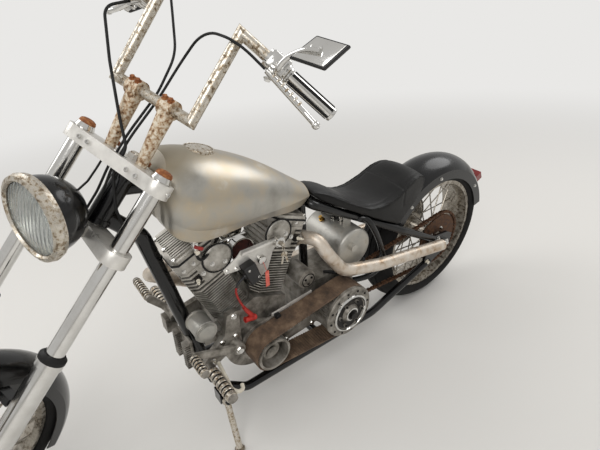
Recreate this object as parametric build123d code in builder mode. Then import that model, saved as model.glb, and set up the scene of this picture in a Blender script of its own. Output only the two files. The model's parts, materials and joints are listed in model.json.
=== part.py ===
from build123d import *
import os
from math import acos, cos, degrees, pi, radians, sin, sqrt, tan

# Long low chopper with a V twin engine, parked on its side stand.
# Millimetres. The bike's own frame has X to the rider's left, Y to the rear and Z up,
# with its origin on the ground line under the rear axle. BIKE sets it down leaning.

# Stance
LEAN = 7.0
TURN = 24.4
CENTRE_X = 154.59
CENTRE_Y = -879.19

# Rear wheel
REAR_RADIUS = 325.0
REAR_CROWN = 80.0
REAR_HALF = 75.0
REAR_BEAD = REAR_RADIUS - 87.0
REAR_RIM_HALF = 58.0
REAR_HUB = 34.0
REAR_AXLE = 10.0

# Front wheel and fork
FRONT_RADIUS = 343.0
FRONT_CROWN = 46.0
FRONT_HALF = 44.0
FRONT_BEAD = FRONT_RADIUS - 67.0
FRONT_RIM_HALF = 24.0
FRONT_HUB = 30.0
FRONT_AXLE = 10.0
NECK_Y = -1142.0
NECK_Z = 962.0
RAKE = 42.6
OFFSET = 45.5
TUBE_PITCH = 254.0
TUBE_RADIUS = 20.5
LOWER_RADIUS = 28.0
CLAMP_THICK = 32.0
CLAMP_DROP = 177.0
CLAMP_BOSS = 33.0
CLAMP_MIDDLE = 30.0
SEAL_S = -460.0
LAMP_PAD_Y = -42.0
STEM_RADIUS = 12.7
NECK_RADIUS = 27.0
TURN_GAP = 6.0

# Frame tubes
BACKBONE_RADIUS = 19.0
DOWNTUBE_RADIUS = 21.5
RAIL_RADIUS = 15.0
POST_RADIUS = 15.0
RAIL_X = 112.0
PLATE_THICK = 12.0
PLATE_X = 112.0

# Engine
CRANK_Y = -898.0
CRANK_Z = 303.0
VEE_HALF = 22.5
CASE_LEFT = 82.0
CASE_RIGHT = -72.0
DECK = 150.0
BARREL_TOP = 305.0
HEAD_TOP = 388.0
COVER_THICK = 8.0
BORE_RADIUS = 50.0
FIN_HALF_X = 76.0
FIN_HALF_Y = 69.0
FIN_PITCH = 8.8
FIN_THICK = 3.0
HEAD_FIN_PITCH = 15.0
HEAD_FIN_THICK = 6.5

# Drive
CLUTCH_Y = -592.0
CLUTCH_Z = 311.0
BELT_INNER = 108.0
BELT_WIDTH = 72.0
BELT_THICK = 6.0
PULLEY_RADIUS = 57.0
DRUM_RADIUS = 92.0
CHAIN_X = 87.5
CHAIN_PITCH = 15.875
REAR_TEETH = 47
FRONT_TEETH = 23

# Tinware
FENDER_TOP = REAR_RADIUS + 18.0
FENDER_HALF = 84.5
FENDER_EDGE = REAR_RADIUS - 25.0
FENDER_SKIRT = REAR_RADIUS - 63.0
SHEET = 3.0
FRONT_FENDER_TOP = FRONT_RADIUS + 19.0
FRONT_FENDER_HALF = 60.0
FRONT_FENDER_EDGE = FRONT_RADIUS - 21.0
FRONT_FENDER_SKIRT = FRONT_RADIUS - 47.0
OIL_Y = -503.0
OIL_Z = 490.0
OIL_RADIUS = 75.0
OIL_LEFT = 108.0

# Fit between pieces that touch or nearly touch
FIT = 0.3
RUN = 0.05

os.makedirs("parts", exist_ok=True)

LIFT = REAR_CROWN * (1 - cos(radians(LEAN)))
BIKE = Plane(Location((-CENTRE_X, -CENTRE_Y, LIFT), (0, LEAN, 0)))
NECK = Plane(BIKE.location * Location((0, NECK_Y, NECK_Z), (-RAKE, 0, 0)))
FORK = Plane(NECK.location * Location((0, 0, 0), (0, 0, TURN)))

# The lower legs are as long as the turned front tyre needs to stand on the floor
front_contact = (FRONT_RADIUS - FRONT_CROWN) * sqrt(1 - FORK.x_dir.Z**2) + FRONT_CROWN
AXLE_S = (front_contact - FORK.origin.Z + OFFSET * FORK.y_dir.Z) / FORK.z_dir.Z


def across(x, base=BIKE):
    """Plane square to X: sketch x runs to the rear, sketch y up."""
    return Plane(base.from_local_coords((x, 0, 0)), x_dir=base.y_dir, z_dir=base.x_dir)


def level(z, base=BIKE):
    """Plane square to Z: sketch x runs to the left, sketch y to the rear."""
    return Plane(base.from_local_coords((0, 0, z)), x_dir=base.x_dir, z_dir=base.z_dir)


def facing(y, base=BIKE):
    """Plane square to Y: sketch x runs to the left, sketch y up."""
    return Plane(base.from_local_coords((0, y, 0)), x_dir=base.x_dir, z_dir=-base.y_dir)


def radial(y, z, angle, base=BIKE):
    """Plane through a cross axle, with sketch y this many degrees above the rear."""
    out = base.y_dir * cos(radians(angle)) + base.z_dir * sin(radians(angle))
    return Plane(base.from_local_coords((0, y, z)), x_dir=base.x_dir, z_dir=base.x_dir.cross(out))


def cross_axis(y, z, base=BIKE):
    """Axis of a wheel, pulley or shaft that lies across the machine."""
    return Axis(base.from_local_coords((0, y, z)), base.x_dir)


def moved_plane(point, turn, base=BIKE):
    """The base plane moved to a point and turned about its own axes."""
    return Plane(base.location * Location(point, turn))


def rod(points, radius, bends=None, base=BIKE, bore=0.0, mode=Mode.ADD):
    """Round bar or tube along a route of straight runs, with a bend at each corner."""
    with BuildLine(base) as route:
        if bends:
            FilletPolyline(*points, radius=bends)
        else:
            Polyline(*points)
    with BuildSketch(Plane(route.line @ 0, z_dir=route.line % 0)) as ring:
        Circle(radius)
        if bore:
            Circle(bore, mode=Mode.SUBTRACT)
    sweep(ring.sketch, path=route.line, transition=Transition.RIGHT, mode=mode)


def disc(y, z, radius, x0, x1, base=BIKE, mode=Mode.ADD):
    """Round bar or disc across the machine, from x0 to x1."""
    with BuildSketch(across(x0, base)) as round_face:
        with Locations((y, z)):
            Circle(radius)
    extrude(round_face.sketch, amount=x1 - x0, mode=mode)


def block(x0, x1, y0, y1, z0, z1, base=BIKE, mode=Mode.ADD):
    """Rectangular block between two corners."""
    with BuildSketch(level(z0, base)) as foot:
        with Locations(((x0 + x1) / 2, (y0 + y1) / 2)):
            Rectangle(abs(x1 - x0), abs(y1 - y0))
    extrude(foot.sketch, amount=z1 - z0, mode=mode)


def plate(points, x0, x1, base=BIKE, mode=Mode.ADD):
    """Flat plate square to X, from its outline as (y, z) points."""
    with BuildSketch(across(x0, base)) as outline:
        with BuildLine():
            Polyline(*points, close=True)
        make_face()
    extrude(outline.sketch, amount=x1 - x0, mode=mode)


# Axle plates, let into the rails' ends; corners as (y, height over the axle)
PLATE_CORNERS = ((-108, -57), (-70, -85), (44, -33), (52, 20), (20, 39), (-66, 49), (-108, 73), (-84, 5))
PLATE_OUTLINE = tuple((y, REAR_RADIUS + up) for y, up in PLATE_CORNERS)

# Frame: neck, backbone, downtube and seat post
BACKBONE = ((0, -1196, 903), (0, -974, 862), (0, -654, 696))
DOWNTUBE = ((0, -1246, 853), (0, -1164, 757), (0, -1048, 176))
POST_TOP = (0, -654, 696)
POST_FOOT = (0, -630, 137)
NECK_TOP = -CLAMP_THICK - TURN_GAP
NECK_FOOT = -CLAMP_DROP + TURN_GAP

with BuildPart() as frame_spine:
    with BuildSketch(level(NECK_TOP, NECK)):
        Circle(NECK_RADIUS)
    extrude(amount=NECK_FOOT - NECK_TOP)
    for ring_s in (NECK_TOP, NECK_FOOT + 14):
        with BuildSketch(level(ring_s, NECK)):
            Circle(NECK_RADIUS + 4)
        extrude(amount=-14)
    rod(BACKBONE, BACKBONE_RADIUS, 120)
    rod(DOWNTUBE, DOWNTUBE_RADIUS, 60)
    rod((POST_TOP, POST_FOOT), POST_RADIUS)
    disc(BACKBONE[2][1], BACKBONE[2][2], BACKBONE_RADIUS, -30, 30)
    disc(DOWNTUBE[2][1], DOWNTUBE[2][2], DOWNTUBE_RADIUS, -45, 45)
    with BuildSketch(level(NECK_TOP + 5, NECK)):
        Circle(STEM_RADIUS + RUN)
    extrude(amount=NECK_FOOT - NECK_TOP - 10, mode=Mode.SUBTRACT)
    disc(POST_FOOT[1], POST_FOOT[2], RAIL_RADIUS, -RAIL_X, RAIL_X, mode=Mode.SUBTRACT)
    block(-40, 40, POST_FOOT[1] - 40, POST_FOOT[1] + 40, POST_FOOT[2] - 60, POST_FOOT[2],
          mode=Mode.SUBTRACT)

# Side stand hinge, in the bike's frame, and the foot's place on the floor
STAND_PIVOT = (140, -1058, 160)
STAND_HINGE = (0.802, 0.0, 0.597)
STAND_FOOT_X = 227.0
STAND_FOOT_Y = -1075.0
STAND_RADIUS = 10.0
FOOT_HEIGHT = 13.0
PIN_RADIUS = 5.0
STAND_PIN = tuple(
    tuple(p + reach * h for p, h in zip(STAND_PIVOT, STAND_HINGE)) for reach in (-42, 10, 15)
)
foot_z = (FOOT_HEIGHT + STAND_FOOT_X * sin(radians(LEAN)) - LIFT) / cos(radians(LEAN))
STAND_FOOT = (STAND_FOOT_X, STAND_FOOT_Y, foot_z)

# Lower cradle rails and the cross tubes that carry engine and gearbox
CRADLE_Z = 137.0
CROSS_TUBES_Y = (-874, -630, -494)

with BuildPart() as frame_cradle:
    for side in (1, -1):
        rail = (
            (side * 45, DOWNTUBE[2][1], DOWNTUBE[2][2]),
            (side * 84, DOWNTUBE[2][1], DOWNTUBE[2][2]),
            (side * RAIL_X, -970, CRADLE_Z),
            (side * RAIL_X, -389, CRADLE_Z),
            (side * 118, -72, REAR_RADIUS - 70),
        )
        rod(rail, RAIL_RADIUS, (26, 50, 160))
        plate(PLATE_OUTLINE, side * PLATE_X, side * (PLATE_X + PLATE_THICK), mode=Mode.SUBTRACT)
    for tube_y in CROSS_TUBES_Y:
        disc(tube_y, CRADLE_Z, RAIL_RADIUS, -RAIL_X, RAIL_X)
    # Lug and pin of the side stand
    block(78, 116, -1070, -1046, 130, 176)
    rod((STAND_PIN[0], STAND_PIN[1]), PIN_RADIUS)
    rod((STAND_PIN[1], STAND_PIN[2]), PIN_RADIUS + 4)

# Upper rails from the backbone's end to the axle plates
UPPER_BENDS = ((58, -654, 696), (64, -463, 586), (110, -262, REAR_RADIUS + 149), (118, -72, REAR_RADIUS + 38))

with BuildPart() as frame_upper_rails:
    for side in (1, -1):
        start = (side * 30, BACKBONE[2][1], BACKBONE[2][2])
        rail = (start,) + tuple((side * x, y, z) for x, y, z in UPPER_BENDS)
        rod(rail, RAIL_RADIUS, (18, 120, 120))
        plate(PLATE_OUTLINE, side * PLATE_X, side * (PLATE_X + PLATE_THICK), mode=Mode.SUBTRACT)

# Axle plates and rear axle
with BuildPart() as axle_plates:
    for side in (1, -1):
        plate(PLATE_OUTLINE, side * PLATE_X, side * (PLATE_X + PLATE_THICK))
        disc(0, REAR_RADIUS, REAR_AXLE + RUN, side * 90, side * 140, mode=Mode.SUBTRACT)

with BuildPart() as rear_axle:
    disc(0, REAR_RADIUS, REAR_AXLE, -142, 142)
    for side in (1, -1):
        with BuildSketch(across(side * (PLATE_X + PLATE_THICK))):
            with Locations((0, REAR_RADIUS)):
                RegularPolygon(18, 6)
        extrude(amount=side * 14)
        disc(0, REAR_RADIUS, 17, side * 98, side * PLATE_X)

# Crankcase, one heavy casting with its cam cover
vee_y = sin(radians(VEE_HALF))
vee_z = cos(radians(VEE_HALF))
DECK_HALF = 62.0
deck_far = (-DECK * vee_y - DECK_HALF * vee_z, DECK * vee_z - DECK_HALF * vee_y)
deck_mid = DECK * vee_z + DECK_HALF * vee_y - 0.5
CASE_RADIUS = 116.0
CAM_COVER = ((-960, 262), (-836, 262), (-812, 330), (-836, 400), (-960, 400), (-984, 330))
CAM_TOP = 400.0
CAM_TAPER = 8.0

with BuildPart() as crankcase:
    with BuildSketch(across(CASE_RIGHT)):
        with Locations((CRANK_Y, CRANK_Z)):
            Circle(CASE_RADIUS)
        with BuildLine():
            Polyline(
                (CRANK_Y + deck_far[0], CRANK_Z + deck_far[1]),
                (CRANK_Y, CRANK_Z + deck_mid),
                (CRANK_Y - deck_far[0], CRANK_Z + deck_far[1]),
                (CRANK_Y - deck_far[0], CRANK_Z),
                (CRANK_Y + deck_far[0], CRANK_Z),
                close=True,
            )
        make_face()
    extrude(amount=CASE_LEFT - CASE_RIGHT)
    with BuildSketch(across(CASE_RIGHT)):
        with BuildLine():
            Polyline(*CAM_COVER, close=True)
        make_face()
    extrude(amount=-36, taper=CAM_TAPER)
    disc(CRANK_Y, CRANK_Z, 70, CASE_LEFT, 98.5)
    disc(CRANK_Y, CRANK_Z, 19, 98.5, 170)
    block(-30, 30, CRANK_Y + 8, CRANK_Y + 40, CRADLE_Z + RAIL_RADIUS + FIT, CRANK_Z - 100)
    block(-18, 18, -1052, -990, 300, 330)
    rod((DOWNTUBE[1], DOWNTUBE[2]), DOWNTUBE_RADIUS + FIT, mode=Mode.SUBTRACT)

# Barrels, heads and rocker boxes of both cylinders; columns: tilt, sign of the outer side, gasket height
CYLINDERS = ((VEE_HALF, -1, 424.0), (-VEE_HALF, 1, 406.0))

with BuildPart() as cylinders:
    for tilt, outer, gasket_s in CYLINDERS:
        stand = moved_plane((0, CRANK_Y, CRANK_Z), (tilt, 0, 0))
        with BuildSketch(level(DECK + FIT, stand)):
            Circle(BORE_RADIUS)
        extrude(amount=BARREL_TOP - DECK - FIT)
        fin_s = DECK + 12
        while fin_s < BARREL_TOP - FIN_THICK:
            with BuildSketch(level(fin_s, stand)) as fin:
                Rectangle(2 * FIN_HALF_X, 2 * FIN_HALF_Y)
                chamfer(fin.vertices(), 26)
                inner = min(FIN_HALF_Y, (fin_s * vee_y - 2) / vee_z)
                with Locations((0, -outer * (inner + FIN_HALF_Y))):
                    Rectangle(4 * FIN_HALF_X, 2 * FIN_HALF_Y, mode=Mode.SUBTRACT)
            extrude(amount=FIN_THICK)
            fin_s += FIN_PITCH

with BuildPart() as cylinder_heads:
    for tilt, outer, gasket_s in CYLINDERS:
        stand = moved_plane((0, CRANK_Y, CRANK_Z), (tilt, 0, 0))
        with BuildSketch(level(BARREL_TOP, stand)) as core:
            Rectangle(2 * FIN_HALF_X - 24, 2 * FIN_HALF_Y - 20)
            chamfer(core.vertices(), 20)
        extrude(amount=HEAD_TOP - BARREL_TOP)
        fin_s = BARREL_TOP
        while fin_s < HEAD_TOP - 12:
            with BuildSketch(level(fin_s, stand)) as fin:
                Rectangle(2 * FIN_HALF_X, 2 * FIN_HALF_Y)
                chamfer(fin.vertices(), 20)
            extrude(amount=HEAD_FIN_THICK)
            fin_s += HEAD_FIN_PITCH
        # Smooth side wall towards the other cylinder, where the plug and the bolts sit
        with BuildSketch(level(BARREL_TOP + 13, stand)):
            with Locations((FIN_HALF_X - 7, -outer * 20)):
                Rectangle(14, 84)
        extrude(amount=HEAD_TOP - BARREL_TOP - 13)
        with BuildSketch(level(HEAD_TOP, stand)) as deck_face:
            Rectangle(2 * FIN_HALF_X, 2 * FIN_HALF_Y - 8)
            chamfer(deck_face.vertices(), 16)
        extrude(amount=-9)

GASKET = 9.0
COVER_HALF_Y = 60.0
RIB_HEIGHT = 4.0
with BuildPart() as rocker_boxes:
    for tilt, outer, gasket_s in CYLINDERS:
        stand = moved_plane((0, CRANK_Y, CRANK_Z), (tilt, 0, 0))
        with BuildSketch(level(HEAD_TOP, stand)) as box:
            Rectangle(2 * FIN_HALF_X - 4, 2 * FIN_HALF_Y - 6)
            chamfer(box.vertices(), 16)
        extrude(amount=gasket_s - HEAD_TOP)
        with BuildSketch(level(gasket_s, stand)) as gasket:
            Rectangle(2 * FIN_HALF_X, 2 * FIN_HALF_Y - 4)
            chamfer(gasket.vertices(), 16)
        extrude(amount=GASKET)
        with BuildSketch(level(gasket_s + GASKET, stand)) as cover:
            Rectangle(2 * FIN_HALF_X - 2, 2 * COVER_HALF_Y)
            chamfer(cover.vertices(), 12)
        extrude(amount=COVER_THICK)
        with BuildSketch(level(gasket_s + GASKET + COVER_THICK, stand)):
            for rib_x in range(-60, 61, 10):
                with Locations((rib_x, 0)):
                    Rectangle(4.5, 2 * COVER_HALF_Y - 18)
            with Locations((8 - FIN_HALF_X, 0)):
                Rectangle(9, 2 * COVER_HALF_Y - 28)
        extrude(amount=RIB_HEIGHT)
    rod((DOWNTUBE[1], DOWNTUBE[2]), DOWNTUBE_RADIUS + 3, mode=Mode.SUBTRACT)

# Pushrod tubes on the right; columns: y offset at the cam cover, then along the head
PUSHRODS = ((-52, -30), (-22, 12), (22, -12), (52, 30))
PUSHROD_RADIUS = 9.0
PUSHROD_X = -FIN_HALF_X - PUSHROD_RADIUS - FIT
pushrod_seat = CAM_TOP - (CASE_RIGHT - PUSHROD_X - PUSHROD_RADIUS) * tan(radians(CAM_TAPER)) + FIT

with BuildPart() as pushrod_tubes:
    for foot_y, head_y in PUSHRODS:
        lean = -1 if foot_y < 0 else 1
        top_y = CRANK_Y + lean * (HEAD_TOP - 30) * vee_y + head_y * vee_z
        top_z = CRANK_Z + (HEAD_TOP - 30) * vee_z - lean * head_y * vee_y
        rod(((PUSHROD_X, CRANK_Y + foot_y, pushrod_seat - 12), (PUSHROD_X, top_y, top_z)), PUSHROD_RADIUS)
    block(-130, -60, CRANK_Y - 90, CRANK_Y + 90, pushrod_seat - 40, pushrod_seat, mode=Mode.SUBTRACT)


def around_head(tilt):
    """Cut back what is being built to just outside the fins of this cylinder's head."""
    stand = moved_plane((0, CRANK_Y, CRANK_Z), (tilt, 0, 0))
    with BuildSketch(level(BARREL_TOP - 40, stand)) as fins:
        Rectangle(2 * (FIN_HALF_X + FIT), 2 * (FIN_HALF_Y + FIT))
    extrude(fins.sketch, amount=HEAD_TOP - BARREL_TOP + 60, mode=Mode.SUBTRACT)


# Carburettor and round air cleaner between the heads, on the right
with BuildPart() as air_cleaner:
    disc(CRANK_Y, CRANK_Z + 300, 20, -112, -30)
    disc(CRANK_Y, CRANK_Z + 300, 32, -112, -70)
    rod(((-40, CRANK_Y - 80, CRANK_Z + 300), (-40, CRANK_Y + 80, CRANK_Z + 300)), 18)
    for tilt, outer, gasket_s in CYLINDERS:
        around_head(tilt)
    with BuildSketch(across(-112)):
        with Locations((CRANK_Y, CRANK_Z + 300)):
            Circle(84)
    extrude(amount=-46, taper=6)

# Gearbox with its feet on the cross tubes
GEARBOX = ((-706, 246), (-484, 246), (-470, 300), (-476, 380), (-520, 404), (-690, 404), (-712, 350))

with BuildPart() as transmission:
    plate(GEARBOX, -85, 76)
    plate(((-640, 280), (-545, 280), (-530, 330), (-560, 372), (-630, 372), (-655, 330)), -85, -100)
    disc(CLUTCH_Y, CLUTCH_Z, 18, 76, 190)
    for tube_y in (CROSS_TUBES_Y[2],):
        block(-45, 45, tube_y - 14, tube_y + 14, CRADLE_Z + RAIL_RADIUS + FIT, 250)
    for pillar_z in (274, 346):
        disc(-684, pillar_z, 14, 76, 98.5)
    rod((POST_TOP, POST_FOOT), POST_RADIUS + FIT, mode=Mode.SUBTRACT)

# Motor plate that ties engine and gearbox on the left
PLATE_INNER = 98.5
PLATE_OUTER = 106.5

with BuildPart() as motor_plate:
    with BuildSketch(across(PLATE_INNER)) as outline:
        with Locations((CRANK_Y, CRANK_Z)):
            Circle(74)
        with Locations((CLUTCH_Y - 40, CLUTCH_Z)):
            Circle(56)
        make_hull()
        with Locations((CRANK_Y, CRANK_Z)):
            Circle(19 + FIT, mode=Mode.SUBTRACT)
        with Locations((CLUTCH_Y, CLUTCH_Z)):
            Circle(18 + FIT, mode=Mode.SUBTRACT)
        with Locations((-760, 306)):
            SlotCenterToCenter(44, 44, mode=Mode.SUBTRACT)
    extrude(amount=PLATE_OUTER - PLATE_INNER)

# Primary drive: pulley, clutch drum and wide belt
BELT_OUTER = BELT_INNER + BELT_WIDTH
HUB_FACE = BELT_INNER - 1

with BuildPart() as crank_pulley:
    with BuildSketch(radial(CRANK_Y, CRANK_Z, 90)):
        with BuildLine():
            Polyline(
                (HUB_FACE, 19 + FIT),
                (HUB_FACE, PULLEY_RADIUS + 6),
                (BELT_INNER - FIT, PULLEY_RADIUS + 6),
                (BELT_INNER - FIT, PULLEY_RADIUS),
                (BELT_OUTER + 6, PULLEY_RADIUS),
                (BELT_OUTER + 6, PULLEY_RADIUS - 8),
                (BELT_INNER + 40, PULLEY_RADIUS - 8),
                (BELT_INNER + 40, 34),
                (BELT_INNER + 56, 30),
                (BELT_INNER + 56, 19 + FIT),
                close=True,
            )
        make_face()
    revolve(axis=cross_axis(CRANK_Y, CRANK_Z))

with BuildPart() as clutch_drum:
    with BuildSketch(radial(CLUTCH_Y, CLUTCH_Z, 90)):
        with BuildLine():
            Polyline(
                (HUB_FACE, 18 + FIT),
                (HUB_FACE, DRUM_RADIUS + 5),
                (BELT_INNER - FIT, DRUM_RADIUS + 5),
                (BELT_INNER - FIT, DRUM_RADIUS),
                (BELT_OUTER + FIT, DRUM_RADIUS),
                (BELT_OUTER + FIT, DRUM_RADIUS + 5),
                (BELT_OUTER + 9, DRUM_RADIUS + 5),
                (BELT_OUTER + 13, DRUM_RADIUS + 1),
                (BELT_OUTER + 13, 74),
                (BELT_OUTER + 19, 71),
                (BELT_OUTER + 19, 65),
                (BELT_OUTER + 14, 62),
                (BELT_OUTER + 14, 34),
                (BELT_OUTER + 24, 28),
                (BELT_OUTER + 24, 0),
                (190 + FIT, 0),
                (190 + FIT, 18 + FIT),
                close=True,
            )
        make_face()
    revolve(axis=cross_axis(CLUTCH_Y, CLUTCH_Z))
    with BuildSketch(across(BELT_OUTER + 14)):
        with Locations((CLUTCH_Y, CLUTCH_Z)):
            with PolarLocations(48, 6):
                Circle(6)
    extrude(amount=8)

with BuildPart() as primary_belt:
    with BuildSketch(across(BELT_INNER)):
        with Locations((CRANK_Y, CRANK_Z)):
            Circle(PULLEY_RADIUS + FIT + BELT_THICK)
        with Locations((CLUTCH_Y, CLUTCH_Z)):
            Circle(DRUM_RADIUS + FIT + BELT_THICK)
        make_hull()
    extrude(amount=BELT_WIDTH)
    with BuildSketch(across(BELT_INNER)):
        with Locations((CRANK_Y, CRANK_Z)):
            Circle(PULLEY_RADIUS + FIT)
        with Locations((CLUTCH_Y, CLUTCH_Z)):
            Circle(DRUM_RADIUS + FIT)
        make_hull()
    extrude(amount=BELT_WIDTH, mode=Mode.SUBTRACT)

# Starter motor on the gearbox
STARTER_Y = -709.0
STARTER_Z = 457.0
STARTER_RADIUS = 33.0

with BuildPart() as starter_motor:
    disc(STARTER_Y, STARTER_Z, STARTER_RADIUS, 20, 104)
    disc(STARTER_Y, STARTER_Z, STARTER_RADIUS - 6, 104, 112)
    block(22, 60, STARTER_Y + 3, STARTER_Y + 23, 404 + FIT, STARTER_Z)

# Secondary drive chain over both sprockets, as alternate wide and narrow links
REAR_PITCH = CHAIN_PITCH / (2 * sin(pi / REAR_TEETH))
FRONT_PITCH = CHAIN_PITCH / (2 * sin(pi / FRONT_TEETH))
LINK_HALF = 6.5
span = sqrt(CLUTCH_Y**2 + (CLUTCH_Z - REAR_RADIUS) ** 2)
wrap = degrees(acos((REAR_PITCH - FRONT_PITCH) / span))
run_length = sqrt(span**2 - (REAR_PITCH - FRONT_PITCH) ** 2)

# The chain's loop in the line of the two shafts: u runs from the rear shaft to the front one
line_u = ((CLUTCH_Y) / span, (CLUTCH_Z - REAR_RADIUS) / span)
line_v = (-line_u[1], line_u[0])


def chain_point(distance):
    """Place and heading of the chain at this distance along its loop, as (y, z, degrees)."""
    a0 = radians(wrap)
    rear_arc = REAR_PITCH * (2 * pi - 2 * a0)
    front_arc = FRONT_PITCH * 2 * a0
    if distance < rear_arc:
        turn = a0 + distance / REAR_PITCH
        u, v, head = REAR_PITCH * cos(turn), REAR_PITCH * sin(turn), turn + pi / 2
    elif distance < rear_arc + run_length:
        t = (distance - rear_arc) / run_length
        u = REAR_PITCH * cos(-a0) * (1 - t) + (span + FRONT_PITCH * cos(-a0)) * t
        v = REAR_PITCH * sin(-a0) * (1 - t) + FRONT_PITCH * sin(-a0) * t
        head = -a0 + pi / 2
    elif distance < rear_arc + run_length + front_arc:
        turn = -a0 + (distance - rear_arc - run_length) / FRONT_PITCH
        u, v, head = span + FRONT_PITCH * cos(turn), FRONT_PITCH * sin(turn), turn + pi / 2
    else:
        t = (distance - rear_arc - run_length - front_arc) / run_length
        u = (span + FRONT_PITCH * cos(a0)) * (1 - t) + REAR_PITCH * cos(a0) * t
        v = FRONT_PITCH * sin(a0) * (1 - t) + REAR_PITCH * sin(a0) * t
        head = a0 + pi / 2
    y = u * line_u[0] + v * line_v[0]
    z = REAR_RADIUS + u * line_u[1] + v * line_v[1]
    dy = cos(head) * line_u[0] + sin(head) * line_v[0]
    dz = cos(head) * line_u[1] + sin(head) * line_v[1]
    return y, z, dy, dz


loop_length = 2 * run_length + REAR_PITCH * (2 * pi - 2 * radians(wrap)) + FRONT_PITCH * 2 * radians(wrap)
link_count = 2 * round(loop_length / CHAIN_PITCH / 2)
link_step = loop_length / link_count

# Columns: first link of the set, half width, overlap into the next link
LINK_SETS = ((0, 5.0, 2.0), (1, 7.5, 4.0))

with BuildPart() as drive_chain:
    for first, half_width, lap in LINK_SETS:
        link_planes = []
        for index in range(first, link_count, 2):
            y, z, dy, dz = chain_point((index + 0.5) * link_step)
            link_planes.append(Plane(
                BIKE.from_local_coords((CHAIN_X - half_width, y, z)),
                x_dir=BIKE.y_dir * dy + BIKE.z_dir * dz,
                z_dir=BIKE.x_dir,
            ))
        with BuildSketch(*link_planes):
            Rectangle(link_step + lap, 2 * LINK_HALF)
        extrude(amount=2 * half_width)

with BuildPart() as front_sprocket:
    disc(CLUTCH_Y, CLUTCH_Z, (FRONT_PITCH - LINK_HALF) * cos(pi / FRONT_TEETH) - FIT, CHAIN_X - 3.5, CHAIN_X + 3.5)
    disc(CLUTCH_Y, CLUTCH_Z, 30, CHAIN_X - 3.5, 98)
    disc(CLUTCH_Y, CLUTCH_Z, 18 + FIT, 70, 100, mode=Mode.SUBTRACT)

# Oil tank across the frame behind the engine, hung from the upper rails
rail_slope = (UPPER_BENDS[1][2] - BACKBONE[2][2]) / (UPPER_BENDS[1][1] - BACKBONE[2][1])
rail_under = RAIL_RADIUS * sqrt(1 + rail_slope**2) + FIT


def below_rail(y):
    """Height of the upper rails' underside over this place."""
    return BACKBONE[2][2] + rail_slope * (y - BACKBONE[2][1]) - rail_under


with BuildPart() as oil_tank:
    disc(OIL_Y, OIL_Z, OIL_RADIUS, -90, OIL_LEFT)
    fillet(oil_tank.edges().filter_by(GeomType.CIRCLE), 12)
    disc(OIL_Y - 18, OIL_Z + 20, 13, OIL_LEFT - 1, OIL_LEFT + 18)
    for side in (1, -1):
        plate(
            (
                (OIL_Y - 15, OIL_Z + 50),
                (OIL_Y + 15, OIL_Z + 50),
                (OIL_Y + 15, below_rail(OIL_Y + 15)),
                (OIL_Y - 15, below_rail(OIL_Y - 15)),
            ),
            side * 58, side * 66,
        )

# Oil filter, coil with its bracket, and voltage regulator
with BuildPart() as oil_filter:
    disc(-1072, 436, 33, 28, 100)
    disc(-1072, 436, 29, 100, 104)
    block(40, 70, -1084, CRANK_Y + deck_far[0] - FIT, 388, 404)

COIL_X = FIN_HALF_X + 7
with BuildPart() as ignition_coil:
    plate(((-990, 612), (-985, 594), (-935, 590), (-880, 524), (-842, 550), (-822, 608), (-792, 636),
           (-796, 652), (-930, 652), (-945, 636)), COIL_X - 4, COIL_X)
    plate(((-934, 642), (-796, 642), (-796, 652), (-930, 652)), COIL_X, COIL_X + 12)
    for boss_y, boss_z in ((-978, 604), (-808, 628)):
        disc(boss_y, boss_z, 6, FIN_HALF_X + FIT, COIL_X - 4)
    plate(((-942, 608), (-902, 618), (-882, 552), (-918, 540)), COIL_X, COIL_X + 32)
    disc(-860, 592, 15, COIL_X, COIL_X + 22)
    disc(-806, 642, 15, COIL_X, COIL_X + 24)

# Spark plug lead of the front cylinder, pulled off its plug and hanging from the coil
LEAD_RADIUS = 3.5
LEAD_X = COIL_X + 16
PLUG_LEAD = ((LEAD_X, -930.3, 573.9), (LEAD_X, -947.7, 567.7), (LEAD_X, -961.3, 553.7), (LEAD_X, -966.8, 535.5),
             (LEAD_X, -961.5, 505.5), (LEAD_X, -945.5, 462.5), (LEAD_X, -924, 423))

with BuildPart() as plug_lead:
    rod(PLUG_LEAD, LEAD_RADIUS, (35.3, 35.6, 35.6, 150, 280))

with BuildPart() as plug_boot:
    rod(((LEAD_X, -923.9, 422.7), (LEAD_X, -917, 410)), 6.5)
    rod(((LEAD_X, -906, 405), (LEAD_X, -946, 412)), 9.5)

with BuildPart() as voltage_regulator:
    with BuildSketch(facing(-1100)):
        with Locations((0, 322)):
            Rectangle(88, 104)
    extrude(amount=10)
    for fin_x in range(-40, 41, 8):
        with BuildSketch(facing(-1110)):
            with Locations((fin_x, 322)):
                Rectangle(3, 104)
        extrude(amount=16)
    block(-10, 10, -1101, -1080, 305, 345)
    rod((DOWNTUBE[1], DOWNTUBE[2]), DOWNTUBE_RADIUS + FIT, mode=Mode.SUBTRACT)

# Exhaust pipes; each route starts at its head
PIPE_RADIUS = 22.5
PIPE_WALL = 1.8
LEFT_PIPE = ((40, -692, 586), (104, -668, 597), (134, -650, 548), (134, -575, 446), (152, -420, 412), (159, -60, 350))
RIGHT_PIPE = ((-56, -1080, 604), (-64, -1138, 582), (-120, -1138, 545), (-150, -1010, 440), (-150, -800, 352), (-150, -70, 318))

with BuildPart() as exhaust_left:
    rod(LEFT_PIPE, PIPE_RADIUS, (34, 40, 90, 160), bore=PIPE_RADIUS - PIPE_WALL)
    rod(((44, -720, 578), (44, -684, 588)), PIPE_RADIUS - 2)
    around_head(-VEE_HALF)

with BuildPart() as exhaust_right:
    rod(RIGHT_PIPE, PIPE_RADIUS, (26, 40, 120, 160), bore=PIPE_RADIUS - PIPE_WALL)
    around_head(VEE_HALF)

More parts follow.
